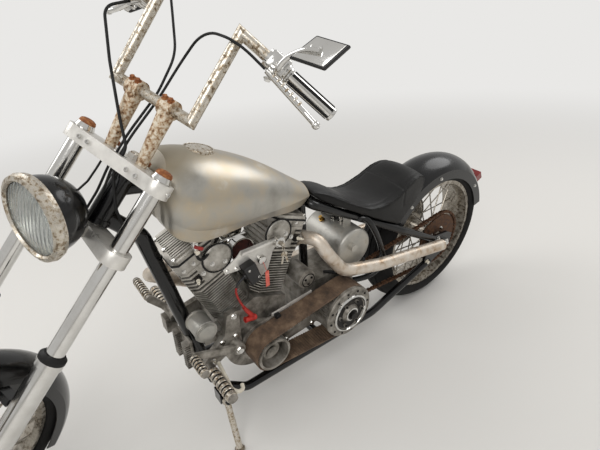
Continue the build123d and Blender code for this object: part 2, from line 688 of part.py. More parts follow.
# Fuel tank: teardrop loft; columns: y, half width, shoulder height, ridge height, bottom height
TANK_SECTIONS = (
    (-1126, 68, 852, 930, 818),
    (-1086, 112, 802, 971, 760),
    (-981, 115, 768, 950, 743),
    (-814, 100, 752, 869, 729),
    (-706, 70, 733, 792, 706),
    (-650, 46, 722, 752, 713),
)
CAP_Y = -981.0
CAP_Z = 936.0
CAP_TILT = -15.0
CAP_RADIUS = 35.0
TUNNEL = 3.0
TAIL_ROUND = 9.0
clamp_reach = CLAMP_MIDDLE + TURN_GAP + 1

with BuildPart() as fuel_tank:
    for y, half, shoulder, ridge, floor in TANK_SECTIONS:
        with BuildSketch(facing(y)):
            with BuildLine():
                ThreePointArc((-half, shoulder), (0, ridge), (half, shoulder))
                Line((half, shoulder), (half - 8, floor))
                Line((half - 8, floor), (8 - half, floor))
                Line((8 - half, floor), (-half, shoulder))
            make_face()
    loft()
    fillet(fuel_tank.faces().sort_by(Axis(BIKE.origin, BIKE.y_dir))[-1].edges(), TAIL_ROUND)
    over = BACKBONE_RADIUS + TUNNEL
    plate(
        (
            (BACKBONE[0][1], BACKBONE[0][2] + over),
            (BACKBONE[1][1], BACKBONE[1][2] + over + 3),
            (BACKBONE[2][1] + 30, BACKBONE[2][2] + over - 4),
            (BACKBONE[2][1] + 30, 560),
            (BACKBONE[0][1], 560),
        ),
        -over, over, mode=Mode.SUBTRACT,
    )
    disc(BACKBONE[2][1], BACKBONE[2][2], BACKBONE_RADIUS + FIT, -70, 70, mode=Mode.SUBTRACT)
    with BuildSketch(level(-CLAMP_DROP, NECK)) as clamp_sweep:
        with BuildLine():
            Polyline((-140, 0), (140, 0), (140, clamp_reach + 15), (0, clamp_reach), (-140, clamp_reach + 15), close=True)
        make_face()
    extrude(clamp_sweep.sketch, amount=CLAMP_DROP + 70, mode=Mode.SUBTRACT)
    with BuildSketch(moved_plane((0, CAP_Y, CAP_Z), (CAP_TILT, 0, 0))):
        Circle(CAP_RADIUS + FIT)
    extrude(amount=60, mode=Mode.SUBTRACT)

with BuildPart() as fuel_cap:
    with BuildSketch(moved_plane((0, CAP_Y, CAP_Z), (CAP_TILT, 0, 0))):
        Circle(CAP_RADIUS)
    extrude(amount=13)

# Seat with a hump on the rear fender
HUMP_Z = REAR_RADIUS + 353.0
with BuildPart() as seat:
    with BuildSketch(across(-120)):
        with BuildLine():
            Polyline((-126, HUMP_Z - 32), (-126, HUMP_Z - 78), (-280, HUMP_Z - 175), (-614, 693), (-632, 712),
                     (-642, 716), (-642, 734))
            Spline((-642, 734), (-600, 726), (-430, 632), (-300, 640), (-185, HUMP_Z), (-126, HUMP_Z - 32))
        make_face()
    extrude(amount=240)
    with BuildSketch(level(400)):
        with BuildLine():
            Spline((44, -645), (62, -600), (102, -440), (108, -280), (76, -110))
            Line((76, -110), (-76, -110))
            Spline((-76, -110), (-108, -280), (-102, -440), (-62, -600), (-44, -645))
            Line((-44, -645), (44, -645))
        make_face()
    extrude(amount=400, mode=Mode.INTERSECT)
    with BuildSketch(radial(0, REAR_RADIUS, 90)):
        with BuildLine():
            ThreePointArc((-FENDER_HALF - FIT, FENDER_EDGE), (0, FENDER_TOP + FIT), (FENDER_HALF + FIT, FENDER_EDGE))
            Line((FENDER_HALF + FIT, FENDER_EDGE), (FENDER_HALF + FIT, 200))
            Line((FENDER_HALF + FIT, 200), (-FENDER_HALF - FIT, 200))
            Line((-FENDER_HALF - FIT, 200), (-FENDER_HALF - FIT, FENDER_EDGE))
        make_face()
    revolve(axis=cross_axis(0, REAR_RADIUS), mode=Mode.SUBTRACT)

# Rear fender and tail lamp; the sweep runs from its rear end over the top to the front
FENDER_REAR = 14.0
FENDER_SWEEP = 136.0

with BuildPart() as rear_fender:
    with BuildSketch(radial(0, REAR_RADIUS, FENDER_REAR)):
        with BuildLine():
            ThreePointArc((-FENDER_HALF, FENDER_EDGE), (0, FENDER_TOP), (FENDER_HALF, FENDER_EDGE))
            Line((FENDER_HALF, FENDER_EDGE), (FENDER_HALF, FENDER_SKIRT))
            Line((FENDER_HALF, FENDER_SKIRT), (FENDER_HALF - SHEET, FENDER_SKIRT))
            Line((FENDER_HALF - SHEET, FENDER_SKIRT), (FENDER_HALF - SHEET, FENDER_EDGE))
            ThreePointArc((FENDER_HALF - SHEET, FENDER_EDGE), (0, FENDER_TOP - SHEET), (SHEET - FENDER_HALF, FENDER_EDGE))
            Line((SHEET - FENDER_HALF, FENDER_EDGE), (SHEET - FENDER_HALF, FENDER_SKIRT))
            Line((SHEET - FENDER_HALF, FENDER_SKIRT), (-FENDER_HALF, FENDER_SKIRT))
            Line((-FENDER_HALF, FENDER_SKIRT), (-FENDER_HALF, FENDER_EDGE))
        make_face()
    revolve(axis=cross_axis(0, REAR_RADIUS), revolution_arc=FENDER_SWEEP)

with BuildPart() as tail_lamp:
    with BuildSketch(radial(0, REAR_RADIUS, 26)):
        with Locations((0, FENDER_TOP + 22)):
            Rectangle(70, 44)
    extrude(amount=18, both=True)
    with BuildSketch(radial(0, REAR_RADIUS, 0)):
        with BuildLine():
            ThreePointArc((-FENDER_HALF - FIT, FENDER_EDGE), (0, FENDER_TOP + FIT), (FENDER_HALF + FIT, FENDER_EDGE))
            Line((FENDER_HALF + FIT, FENDER_EDGE), (-FENDER_HALF - FIT, FENDER_EDGE))
        make_face()
    revolve(axis=cross_axis(0, REAR_RADIUS), mode=Mode.SUBTRACT)

# Forward foot controls
with BuildPart() as foot_control_left:
    plate(((-1005, 465), (-965, 465), (-965, 340), (-1075, 285), (-1100, 300), (-1090, 330), (-1020, 390)),
          CASE_LEFT + FIT, 102)
    disc(-1084, 305, 16, CASE_LEFT + FIT, 122)
    disc(-1084, 305, 15, 122, 250)
    disc(-989, 341, 20, 102, 132)
    plate(((-1000, 330), (-980, 350), (-1128, 408), (-1140, 392)), 118, 128)
    disc(-1134, 400, 11, 128, 205)

with BuildPart() as foot_control_right:
    plate(((-1005, 418), (-976, 418), (-976, 360), (-1085, 362), (-1116, 376), (-1112, 398), (-1020, 418)),
          CASE_RIGHT - FIT, -92)
    disc(-1100, 382, 16, CASE_RIGHT - FIT, -130)
    disc(-1100, 382, 15, -140, -250)
    disc(-1100, 382, 16, -130, -140)
    block(-92, -132, -1128, -1092, 316, 372)
    plate(((-1088, 380), (-1112, 380), (-1160, 440), (-1148, 460), (-1136, 448)), -130, -140)
    disc(-1150, 447, 11, -130, -250)

# Rear brake caliper, straddling the disc
with BuildPart() as rear_caliper:
    with BuildSketch(radial(0, REAR_RADIUS, 100)):
        with Locations((-92, 110)):
            Rectangle(36, 70)
        with Locations((-89.5 + 2.6, 100)):
            Rectangle(15.5, 78, mode=Mode.SUBTRACT)
    extrude(amount=38, both=True)
    plate(((-44, REAR_RADIUS + 11), (8, REAR_RADIUS + 11), (8, REAR_RADIUS + 125), (-48, REAR_RADIUS + 125)),
          -PLATE_X + FIT, -PLATE_X + 6)
    disc(0, REAR_RADIUS, 17 + FIT, -PLATE_X, -PLATE_X + 8, mode=Mode.SUBTRACT)

# Rear wheel
with BuildPart() as rear_tyre:
    shoulder_r = REAR_RADIUS - REAR_CROWN + sqrt(REAR_CROWN**2 - REAR_HALF**2)
    with BuildSketch(radial(0, REAR_RADIUS, 90)):
        with BuildLine():
            ThreePointArc((-REAR_HALF, shoulder_r), (0, REAR_RADIUS), (REAR_HALF, shoulder_r))
            Line((REAR_HALF, shoulder_r), (REAR_RIM_HALF, REAR_BEAD + 10))
            Line((REAR_RIM_HALF, REAR_BEAD + 10), (REAR_RIM_HALF, REAR_BEAD))
            Line((REAR_RIM_HALF, REAR_BEAD), (-REAR_RIM_HALF, REAR_BEAD))
            Line((-REAR_RIM_HALF, REAR_BEAD), (-REAR_RIM_HALF, REAR_BEAD + 10))
            Line((-REAR_RIM_HALF, REAR_BEAD + 10), (-REAR_HALF, shoulder_r))
        make_face()
    revolve(axis=cross_axis(0, REAR_RADIUS))

SPOKES = 36
SPOKE_RADIUS = 2.6


def lacing(base, centre, hub_radius, hub_x, rim_radius, rim_x, count):
    """Crossed spokes between hub flanges and rim, two sets each side."""
    spoke_planes = []
    for index in range(count):
        side = 1 if index % 2 else -1
        swing = 22 if (index // 2) % 2 else -22
        angle = radians(360 * index / count)
        reach = angle + radians(swing)
        start = (side * hub_x, centre[0] + hub_radius * cos(angle), centre[1] + hub_radius * sin(angle))
        end = (side * rim_x, centre[0] + rim_radius * cos(reach), centre[1] + rim_radius * sin(reach))
        foot = base.from_local_coords(start)
        tip = base.from_local_coords(end)
        spoke_planes.append(Plane(foot, z_dir=tip - foot))
    with BuildSketch(*spoke_planes) as bars:
        RegularPolygon(SPOKE_RADIUS, 6)
    extrude(bars.sketch, amount=(tip - foot).length)


with BuildPart() as rear_wheel:
    with BuildSketch(radial(0, REAR_RADIUS, 90)):
        with BuildLine():
            Polyline(
                (-REAR_RIM_HALF - 6, REAR_BEAD + 9),
                (-REAR_RIM_HALF - FIT, REAR_BEAD + 9),
                (-REAR_RIM_HALF - FIT, REAR_BEAD - FIT),
                (REAR_RIM_HALF + FIT, REAR_BEAD - FIT),
                (REAR_RIM_HALF + FIT, REAR_BEAD + 9),
                (REAR_RIM_HALF + 6, REAR_BEAD + 9),
                (REAR_RIM_HALF + 6, REAR_BEAD - 6),
                (28, REAR_BEAD - 14),
                (-28, REAR_BEAD - 14),
                (-REAR_RIM_HALF - 6, REAR_BEAD - 6),
                close=True,
            )
        make_face()
    revolve(axis=cross_axis(0, REAR_RADIUS))
    disc(0, REAR_RADIUS, REAR_HUB, -84, 85)
    for side in (1, -1):
        disc(0, REAR_RADIUS, REAR_HUB + 20, side * 44, side * 50)
    disc(0, REAR_RADIUS, 60, 80, 85)
    disc(0, REAR_RADIUS, 60, -84, -80)
    lacing(BIKE, (0, REAR_RADIUS), REAR_HUB + 14, 47, REAR_BEAD - 9, 16, SPOKES)
    disc(0, REAR_RADIUS, REAR_AXLE + RUN, -100, 100, mode=Mode.SUBTRACT)

with BuildPart() as rear_sprocket:
    disc(0, REAR_RADIUS, REAR_PITCH - LINK_HALF - 5, 85 + FIT, 92)
    disc(0, REAR_RADIUS, 30, 80, 100, mode=Mode.SUBTRACT)

with BuildPart() as rear_disc:
    disc(0, REAR_RADIUS, 125, -89.5, -84 - FIT)
    disc(0, REAR_RADIUS, 30, -80, -100, mode=Mode.SUBTRACT)

# Front wheel, turned with the fork
with BuildPart() as front_tyre:
    shoulder_r = FRONT_RADIUS - FRONT_CROWN + sqrt(FRONT_CROWN**2 - FRONT_HALF**2)
    with BuildSketch(radial(-OFFSET, AXLE_S, 90, FORK)):
        with BuildLine():
            ThreePointArc((-FRONT_HALF, shoulder_r), (0, FRONT_RADIUS), (FRONT_HALF, shoulder_r))
            Line((FRONT_HALF, shoulder_r), (FRONT_RIM_HALF, FRONT_BEAD + 8))
            Line((FRONT_RIM_HALF, FRONT_BEAD + 8), (FRONT_RIM_HALF, FRONT_BEAD))
            Line((FRONT_RIM_HALF, FRONT_BEAD), (-FRONT_RIM_HALF, FRONT_BEAD))
            Line((-FRONT_RIM_HALF, FRONT_BEAD), (-FRONT_RIM_HALF, FRONT_BEAD + 8))
            Line((-FRONT_RIM_HALF, FRONT_BEAD + 8), (-FRONT_HALF, shoulder_r))
        make_face()
    revolve(axis=cross_axis(-OFFSET, AXLE_S, FORK))

with BuildPart() as front_wheel:
    with BuildSketch(radial(-OFFSET, AXLE_S, 90, FORK)):
        with BuildLine():
            Polyline(
                (-FRONT_RIM_HALF - 5, FRONT_BEAD + 7),
                (-FRONT_RIM_HALF - FIT, FRONT_BEAD + 7),
                (-FRONT_RIM_HALF - FIT, FRONT_BEAD - FIT),
                (FRONT_RIM_HALF + FIT, FRONT_BEAD - FIT),
                (FRONT_RIM_HALF + FIT, FRONT_BEAD + 7),
                (FRONT_RIM_HALF + 5, FRONT_BEAD + 7),
                (FRONT_RIM_HALF + 5, FRONT_BEAD - 4),
                (12, FRONT_BEAD - 12),
                (-12, FRONT_BEAD - 12),
                (-FRONT_RIM_HALF - 5, FRONT_BEAD - 4),
                close=True,
            )
        make_face()
    revolve(axis=cross_axis(-OFFSET, AXLE_S, FORK))
    disc(-OFFSET, AXLE_S, FRONT_HUB - 6, -50, 58, FORK)
    for side in (1, -1):
        disc(-OFFSET, AXLE_S, FRONT_HUB + 12, side * 30, side * 35, FORK)
    lacing(FORK, (-OFFSET, AXLE_S), FRONT_HUB + 6, 32, FRONT_BEAD - 7, 8, SPOKES)
    disc(-OFFSET, AXLE_S, FRONT_AXLE + RUN, -60, 70, FORK, mode=Mode.SUBTRACT)

with BuildPart() as front_disc:
    disc(-OFFSET, AXLE_S, 145, 58 + FIT, 63, FORK)
    disc(-OFFSET, AXLE_S, 20, 50, 70, FORK, mode=Mode.SUBTRACT)

# Fork: clamps, tubes, lower legs and axle; the cables go down through a slot in the top clamp
CABLE_Y = -52.0
CABLE_SLOT = 9.5

with BuildPart() as top_clamp:
    with BuildSketch(level(-CLAMP_THICK, FORK)):
        for side in (1, -1):
            with Locations((side * TUBE_PITCH / 2, -OFFSET)):
                Circle(CLAMP_BOSS)
        Circle(CLAMP_MIDDLE)
        make_hull()
        for side in (1, -1):
            with Locations((side * TUBE_PITCH / 2, -OFFSET)):
                Circle(TUBE_RADIUS + RUN, mode=Mode.SUBTRACT)
        with Locations((0, CABLE_Y)):
            SlotCenterToCenter(32, 2 * CABLE_SLOT, mode=Mode.SUBTRACT)
    extrude(amount=CLAMP_THICK)
    with BuildSketch(level(0, FORK)):
        RegularPolygon(19, 6)
    extrude(amount=12)

with BuildPart() as bottom_clamp:
    with BuildSketch(level(-CLAMP_DROP - CLAMP_THICK, FORK)):
        for side in (1, -1):
            with BuildSketch(mode=Mode.ADD):
                with Locations((side * TUBE_PITCH / 2, -OFFSET)):
                    Circle(CLAMP_BOSS)
                Circle(28)
                make_hull()
        for side in (1, -1):
            with Locations((side * TUBE_PITCH / 2, -OFFSET)):
                Circle(TUBE_RADIUS + RUN, mode=Mode.SUBTRACT)
    extrude(amount=CLAMP_THICK)
    with BuildSketch(level(-CLAMP_DROP, FORK)):
        Circle(STEM_RADIUS)
    extrude(amount=CLAMP_DROP - CLAMP_THICK)
    block(-22, 22, LAMP_PAD_Y, -10, -CLAMP_DROP - 30, -CLAMP_DROP - 4, FORK)

with BuildPart() as fork_tubes:
    for side in (1, -1):
        with BuildSketch(level(SEAL_S, FORK)):
            with Locations((side * TUBE_PITCH / 2, -OFFSET)):
                Circle(TUBE_RADIUS)
        extrude(amount=-SEAL_S + 2)
        with BuildSketch(level(2, FORK)):
            with Locations((side * TUBE_PITCH / 2, -OFFSET)):
                Circle(TUBE_RADIUS + 3)
        extrude(amount=11, taper=20)

with BuildPart() as fork_lowers:
    for side in (1, -1):
        with BuildSketch(level(AXLE_S - 26, FORK)):
            with Locations((side * TUBE_PITCH / 2, -OFFSET)):
                Circle(LOWER_RADIUS)
        extrude(amount=SEAL_S - AXLE_S + 26 - 16)
        with BuildSketch(level(SEAL_S - 16, FORK)):
            with Locations((side * TUBE_PITCH / 2, -OFFSET)):
                Circle(LOWER_RADIUS + 3)
        extrude(amount=16 - FIT)
        disc(-OFFSET, AXLE_S, FRONT_AXLE + RUN, side * 90, side * 170, FORK, mode=Mode.SUBTRACT)

with BuildPart() as front_axle:
    disc(-OFFSET, AXLE_S, FRONT_AXLE, -166, 166, FORK)
    for side in (1, -1):
        disc(-OFFSET, AXLE_S, 18, side * 70, side * (TUBE_PITCH / 2 - LOWER_RADIUS - FIT), FORK)
        disc(-OFFSET, AXLE_S, 15, side * (TUBE_PITCH / 2 + LOWER_RADIUS + FIT), side * 168, FORK)

with BuildPart() as front_caliper:
    with BuildSketch(radial(-OFFSET, AXLE_S, 45, FORK)):
        with Locations((73, 128)):
            Rectangle(50, 70)
        with Locations((60.5, 118)):
            Rectangle(15.5, 80, mode=Mode.SUBTRACT)
    extrude(amount=36, both=True)
    plate(((-OFFSET, AXLE_S + 50), (-OFFSET, AXLE_S + 150), (40, AXLE_S + 150), (70, AXLE_S + 70)), 84, 112, FORK)
    with BuildSketch(level(AXLE_S - 26, FORK)):
        with Locations((TUBE_PITCH / 2, -OFFSET)):
            Circle(LOWER_RADIUS + FIT)
    extrude(amount=400, mode=Mode.SUBTRACT)

# Front fender on stays from the lower legs
with BuildPart() as front_fender:
    with BuildSketch(radial(-OFFSET, AXLE_S, 6, FORK)):
        with BuildLine():
            ThreePointArc((-FRONT_FENDER_HALF, FRONT_FENDER_EDGE), (0, FRONT_FENDER_TOP), (FRONT_FENDER_HALF, FRONT_FENDER_EDGE))
            Line((FRONT_FENDER_HALF, FRONT_FENDER_EDGE), (FRONT_FENDER_HALF, FRONT_FENDER_SKIRT))
            Line((FRONT_FENDER_HALF, FRONT_FENDER_SKIRT), (FRONT_FENDER_HALF - SHEET, FRONT_FENDER_SKIRT))
            Line((FRONT_FENDER_HALF - SHEET, FRONT_FENDER_SKIRT), (FRONT_FENDER_HALF - SHEET, FRONT_FENDER_EDGE))
            ThreePointArc((FRONT_FENDER_HALF - SHEET, FRONT_FENDER_EDGE), (0, FRONT_FENDER_TOP - SHEET), (SHEET - FRONT_FENDER_HALF, FRONT_FENDER_EDGE))
            Line((SHEET - FRONT_FENDER_HALF, FRONT_FENDER_EDGE), (SHEET - FRONT_FENDER_HALF, FRONT_FENDER_SKIRT))
            Line((SHEET - FRONT_FENDER_HALF, FRONT_FENDER_SKIRT), (-FRONT_FENDER_HALF, FRONT_FENDER_SKIRT))
            Line((-FRONT_FENDER_HALF, FRONT_FENDER_SKIRT), (-FRONT_FENDER_HALF, FRONT_FENDER_EDGE))
        make_face()
    revolve(axis=cross_axis(-OFFSET, AXLE_S, FORK), revolution_arc=119)
    for side in (1, -1):
        block(side * (FRONT_FENDER_HALF - 1), side * (TUBE_PITCH / 2 - LOWER_RADIUS - FIT),
              -OFFSET - 14, -OFFSET + 14, AXLE_S + 300, AXLE_S + 318, FORK)

# Headlamp on the bottom clamp; its axis points forward, a little above the road
LAMP_Y = -158.0
LAMP_S = -190.0
LAMP_TILT = 34.6
LAMP = moved_plane((0, LAMP_Y, LAMP_S), (90 + LAMP_TILT, 0, 0), FORK)
LAMP_SIDE = Plane(LAMP.origin, x_dir=LAMP.x_dir, z_dir=-LAMP.y_dir)

with BuildPart() as headlamp_shell:
    with BuildSketch(LAMP_SIDE):
        with BuildLine():
            Line((84, 0), (84, -12))
            ThreePointArc((84, -12), (62, -72), (0, -102))
            Line((0, -102), (0, -99))
            ThreePointArc((0, -99), (60, -70), (81, -12))
            Line((81, -12), (81, 0))
            Line((81, 0), (84, 0))
        make_face()
    revolve(axis=Axis(LAMP.origin, LAMP.z_dir))
    block(-20, 20, -92, LAMP_PAD_Y, -CLAMP_DROP - 28, -CLAMP_DROP - 6, FORK)
    with BuildSketch(LAMP_SIDE):
        with BuildLine():
            Line((0, 0), (81, 0))
            Line((81, 0), (81, -12))
            ThreePointArc((81, -12), (60, -70), (0, -99))
            Line((0, -99), (0, 0))
        make_face()
    revolve(axis=Axis(LAMP.origin, LAMP.z_dir), mode=Mode.SUBTRACT)

with BuildPart() as headlamp_ring:
    with BuildSketch(LAMP_SIDE):
        with BuildLine():
            Polyline((84.1, -10), (92, -10), (96, 2), (93, 14), (84, 17), (80, 12), (82, FIT), (84.1, FIT), close=True)
        make_face()
    revolve(axis=Axis(LAMP.origin, LAMP.z_dir))

with BuildPart() as headlamp_lens:
    with BuildSketch(LAMP_SIDE):
        with BuildLine():
            Polyline((0, FIT), (79.5, FIT), (79.5, 9), (62, 14), (34, 18), (0, 19.5), close=True)
        make_face()
    revolve(axis=Axis(LAMP.origin, LAMP.z_dir))

# Risers and bars, in the fork's frame as (left, rear, up)
BAR_RADIUS = 12.7
RISER_X = 51.5
BAR_Y = -50.0
BAR_S = 143.0
BAR_LEFT = ((0, BAR_Y, BAR_S), (120, BAR_Y, BAR_S), (120, -63, 355), (335, 73, 324))
GRIP_LENGTH = 125.0

with BuildPart() as risers:
    for side in (1, -1):
        with BuildSketch(level(FIT, FORK)):
            with Locations((side * RISER_X, -31)):
                Circle(13)
        with BuildSketch(level(BAR_S - 8, FORK)):
            with Locations((side * RISER_X, BAR_Y + 1)):
                Circle(20)
        loft()
        disc(BAR_Y, BAR_S, 22, side * (RISER_X - 18), side * (RISER_X + 18), FORK)
        disc(BAR_Y, BAR_S, BAR_RADIUS + RUN, side * (RISER_X - 30), side * (RISER_X + 30), FORK, mode=Mode.SUBTRACT)

with BuildPart() as handlebar:
    left = BAR_LEFT
    right = tuple((-x, y, s) for x, y, s in left)
    rod(left[:0:-1] + right[1:], BAR_RADIUS, base=FORK)

bar_run = Vector(*BAR_LEFT[2]) - Vector(*BAR_LEFT[3])
bar_dir = bar_run.normalized()


def on_bar(distance, side, out=(0, 0, 0)):
    """Point this far in from the bar's end, with an offset, on either side."""
    spot = Vector(*BAR_LEFT[3]) + bar_dir * distance + Vector(*out)
    return (side * spot.X, spot.Y, spot.Z)


with BuildPart() as grips:
    for side in (1, -1):
        rod((on_bar(-3, side), on_bar(GRIP_LENGTH, side)), 17.5, base=FORK)
        rod((on_bar(GRIP_LENGTH, side), on_bar(GRIP_LENGTH + 6, side)), 20, base=FORK)
        rod((on_bar(0, side), on_bar(GRIP_LENGTH + 20, side)), BAR_RADIUS + RUN, base=FORK, mode=Mode.SUBTRACT)

LEVER_TIP = (340, 32, 277)
with BuildPart() as clutch_lever:
    rod((on_bar(GRIP_LENGTH + 8, 1), on_bar(GRIP_LENGTH + 62, 1)), 21, base=FORK)
    rod((on_bar(150, 1), on_bar(150, 1, (0, -30, -26))), 10, base=FORK)
    rod((on_bar(156, 1, (0, -30, -26)), on_bar(40, 1, (0, -36, -40)), LEVER_TIP), 7, 60, base=FORK)
    rod((on_bar(100, 1), on_bar(240, 1)), BAR_RADIUS + RUN, base=FORK, mode=Mode.SUBTRACT)

with BuildPart() as brake_lever:
    rod((on_bar(GRIP_LENGTH + 8, -1), on_bar(GRIP_LENGTH + 62, -1)), 21, base=FORK)
    rod((on_bar(150, -1), on_bar(150, -1, (0, -40, -34.7))), 10, base=FORK)
    rod((on_bar(156, -1, (0, -30, -26)), on_bar(40, -1, (0, -36, -40)), (-LEVER_TIP[0], LEVER_TIP[1], LEVER_TIP[2])),
        7, 60, base=FORK)
    rod((on_bar(100, -1), on_bar(240, -1)), BAR_RADIUS + RUN, base=FORK, mode=Mode.SUBTRACT)

# Mirrors: a slanted plate on a bent stem; corners as (left, up)
MIRROR = ((261, 347), (288, 409), (360, 419), (339, 357))
MIRROR_Y = -80.0
with BuildPart() as mirrors:
    for side in (1, -1):
        with BuildSketch(facing(MIRROR_Y, FORK)):
            with BuildLine():
                Polyline(*[(side * x, s) for x, s in MIRROR], close=True)
            make_face()
        extrude(amount=12)
        rod((on_bar(172, side, (0, -2, 20)), on_bar(172, side, (0, -30, 60)), (side * 312, MIRROR_Y - 6, 384)),
            5, 20, base=FORK)
    for side in (1, -1):
        rod((on_bar(100, side), on_bar(240, side)), 21 + FIT, base=FORK, mode=Mode.SUBTRACT)

# Clutch and throttle cables and the lamp's lead, from the bar down to the clamps, as (left, rear, up)
CABLE_RADIUS = 3.0
PAD_TOP = -CLAMP_DROP - 4
CABLE_FOOT = ((-39.5, -100), (-39.5, PAD_TOP + FIT))
CLUTCH_CABLE = (on_bar(160 + FIT, 1, (0, -30, -26)), (140, -88, 330), (36, -66, 326), (-2, -30, 246), (-5, -27, 150),
                (5, CABLE_Y, 46), (5, CABLE_Y, -40)) + tuple((8, y, up) for y, up in CABLE_FOOT)
THROTTLE_CABLE = (on_bar(GRIP_LENGTH + 63.2, -1, (0, 6, 17)), (-125, -38, 376), (-84, -38, 330), (-26, -29, 256),
                  (-15, -27, 160), (-6, CABLE_Y, 46), (-6, CABLE_Y, -40)) + tuple((-8, y, up) for y, up in CABLE_FOOT)
LAMP_LEAD = ((-17, -67, -CLAMP_THICK - FIT), (-17, -67, -52), (-2, -86, -84), (0, -99.2, -109.1))

# Front brake hose, from the right lever through the clamps and down behind the left leg
HOSE_RADIUS = 3.5
HOSE_LINE = TUBE_PITCH / 2 - 9
BRAKE_HOSE = (on_bar(150, -1, (0, -40.6, -35.2)), (-212, -92, 262), (-133, -76, 164), (-36, -68, 70),
              (16, -58, 20), (16, -54, -44), (56, -34, -110), (96, 9, -160), (104, 8, -226),
              (HOSE_LINE, -9, -320), (HOSE_LINE, -9, AXLE_S + 295), (76, -29.8, AXLE_S + 165.3),
              (76, 19.34, AXLE_S + 116.18))

with BuildPart() as control_cables:
    rod(CLUTCH_CABLE, CABLE_RADIUS, (90, 80, 150, 180, 180, 110, 110), base=FORK)
    rod(THROTTLE_CABLE, CABLE_RADIUS, (44, 180, 110, 180, 180, 110, 110), base=FORK)
    rod(LAMP_LEAD, 2.5, (30, 26), base=FORK)
    rod(BRAKE_HOSE, HOSE_RADIUS, (40, 90, 200, 34, 50, 60, 40, 90, 120, 120, 50), base=FORK)

# Side stand, folded out on its stop
foot_spot = BIKE.from_local_coords(STAND_FOOT)
with BuildPart() as side_stand:
    rod((STAND_PIVOT, STAND_FOOT), STAND_RADIUS)
    rod(tuple(tuple(p + reach * h for p, h in zip(STAND_PIVOT, STAND_HINGE)) for reach in (-9, 9)), 13)
    with BuildSketch(Plane((foot_spot.X, foot_spot.Y, 0))):
        Circle(16)
    extrude(amount=FOOT_HEIGHT - 3)
    rod(tuple(tuple(p + reach * h for p, h in zip(STAND_PIVOT, STAND_HINGE)) for reach in (-20, 20)),
        PIN_RADIUS + RUN, mode=Mode.SUBTRACT)

PIECES = (
    (frame_spine, "frame_spine"),
    (frame_cradle, "frame_cradle"),
    (frame_upper_rails, "frame_upper_rails"),
    (axle_plates, "axle_plates"),
    (rear_axle, "rear_axle"),
    (crankcase, "crankcase"),
    (cylinders, "cylinders"),
    (cylinder_heads, "cylinder_heads"),
    (rocker_boxes, "rocker_boxes"),
    (pushrod_tubes, "pushrod_tubes"),
    (air_cleaner, "air_cleaner"),
    (transmission, "transmission"),
    (motor_plate, "motor_plate"),
    (crank_pulley, "crank_pulley"),
    (clutch_drum, "clutch_drum"),
    (primary_belt, "primary_belt"),
    (starter_motor, "starter_motor"),
    (drive_chain, "drive_chain"),
    (front_sprocket, "front_sprocket"),
    (oil_tank, "oil_tank"),
    (oil_filter, "oil_filter"),
    (ignition_coil, "ignition_coil"),
    (voltage_regulator, "voltage_regulator"),
    (exhaust_left, "exhaust_left"),
    (exhaust_right, "exhaust_right"),
    (fuel_tank, "fuel_tank"),
    (fuel_cap, "fuel_cap"),
    (seat, "seat"),
    (rear_fender, "rear_fender"),
    (tail_lamp, "tail_lamp"),
    (foot_control_left, "foot_control_left"),
    (foot_control_right, "foot_control_right"),
    (rear_caliper, "rear_caliper"),
    (rear_tyre, "rear_tyre"),
    (rear_wheel, "rear_wheel"),
    (rear_sprocket, "rear_sprocket"),
    (rear_disc, "rear_disc"),
    (front_tyre, "front_tyre"),
    (front_wheel, "front_wheel"),
    (front_disc, "front_disc"),
    (top_clamp, "top_clamp"),
    (bottom_clamp, "bottom_clamp"),
    (fork_tubes, "fork_tubes"),
    (fork_lowers, "fork_lowers"),
    (front_axle, "front_axle"),
    (front_caliper, "front_caliper"),
    (front_fender, "front_fender"),
    (headlamp_shell, "headlamp_shell"),
    (headlamp_ring, "headlamp_ring"),
    (headlamp_lens, "headlamp_lens"),
    (risers, "risers"),
    (handlebar, "handlebar"),
    (grips, "grips"),
    (clutch_lever, "clutch_lever"),
    (brake_lever, "brake_lever"),
    (mirrors, "mirrors"),
    (side_stand, "side_stand"),
    (control_cables, "control_cables"),
    (plug_lead, "plug_lead"),
    (plug_boot, "plug_boot"),
)

for piece, name in PIECES:
    piece.part.label = name
    export_step(piece.part, f"parts/{name}.step")
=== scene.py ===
import json
from math import asin, cos, pi, radians, sin, sqrt

import bmesh
import bpy
from bpy.props import FloatProperty, FloatVectorProperty, IntProperty, PointerProperty
from mathutils import Matrix, Vector
from mathutils.bvhtree import BVHTree


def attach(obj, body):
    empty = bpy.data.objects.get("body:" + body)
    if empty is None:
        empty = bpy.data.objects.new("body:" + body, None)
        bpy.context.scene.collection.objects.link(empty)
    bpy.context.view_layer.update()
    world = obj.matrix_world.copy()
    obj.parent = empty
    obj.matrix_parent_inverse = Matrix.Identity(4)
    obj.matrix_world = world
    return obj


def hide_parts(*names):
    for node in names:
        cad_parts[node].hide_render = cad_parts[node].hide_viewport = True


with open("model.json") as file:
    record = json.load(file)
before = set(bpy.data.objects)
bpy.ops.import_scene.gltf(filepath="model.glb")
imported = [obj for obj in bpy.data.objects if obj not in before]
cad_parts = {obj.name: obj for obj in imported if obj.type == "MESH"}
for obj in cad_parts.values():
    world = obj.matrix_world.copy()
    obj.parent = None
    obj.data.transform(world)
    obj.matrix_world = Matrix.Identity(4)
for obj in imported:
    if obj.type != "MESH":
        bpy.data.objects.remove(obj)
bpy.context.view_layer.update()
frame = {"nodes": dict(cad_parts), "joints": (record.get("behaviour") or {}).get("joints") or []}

bl_info = {
    "name": "Parked chopper",
    "version": (1, 0, 0),
    "blender": (4, 5, 0),
    "location": "View3D > Sidebar > Chopper",
    "description": "Dresses the packed chopper with trim, tyres, upholstery and worn finishes",
    "category": "Object",
}

JOINTS = {joint["name"]: joint for joint in frame["joints"]}
MM = 0.001


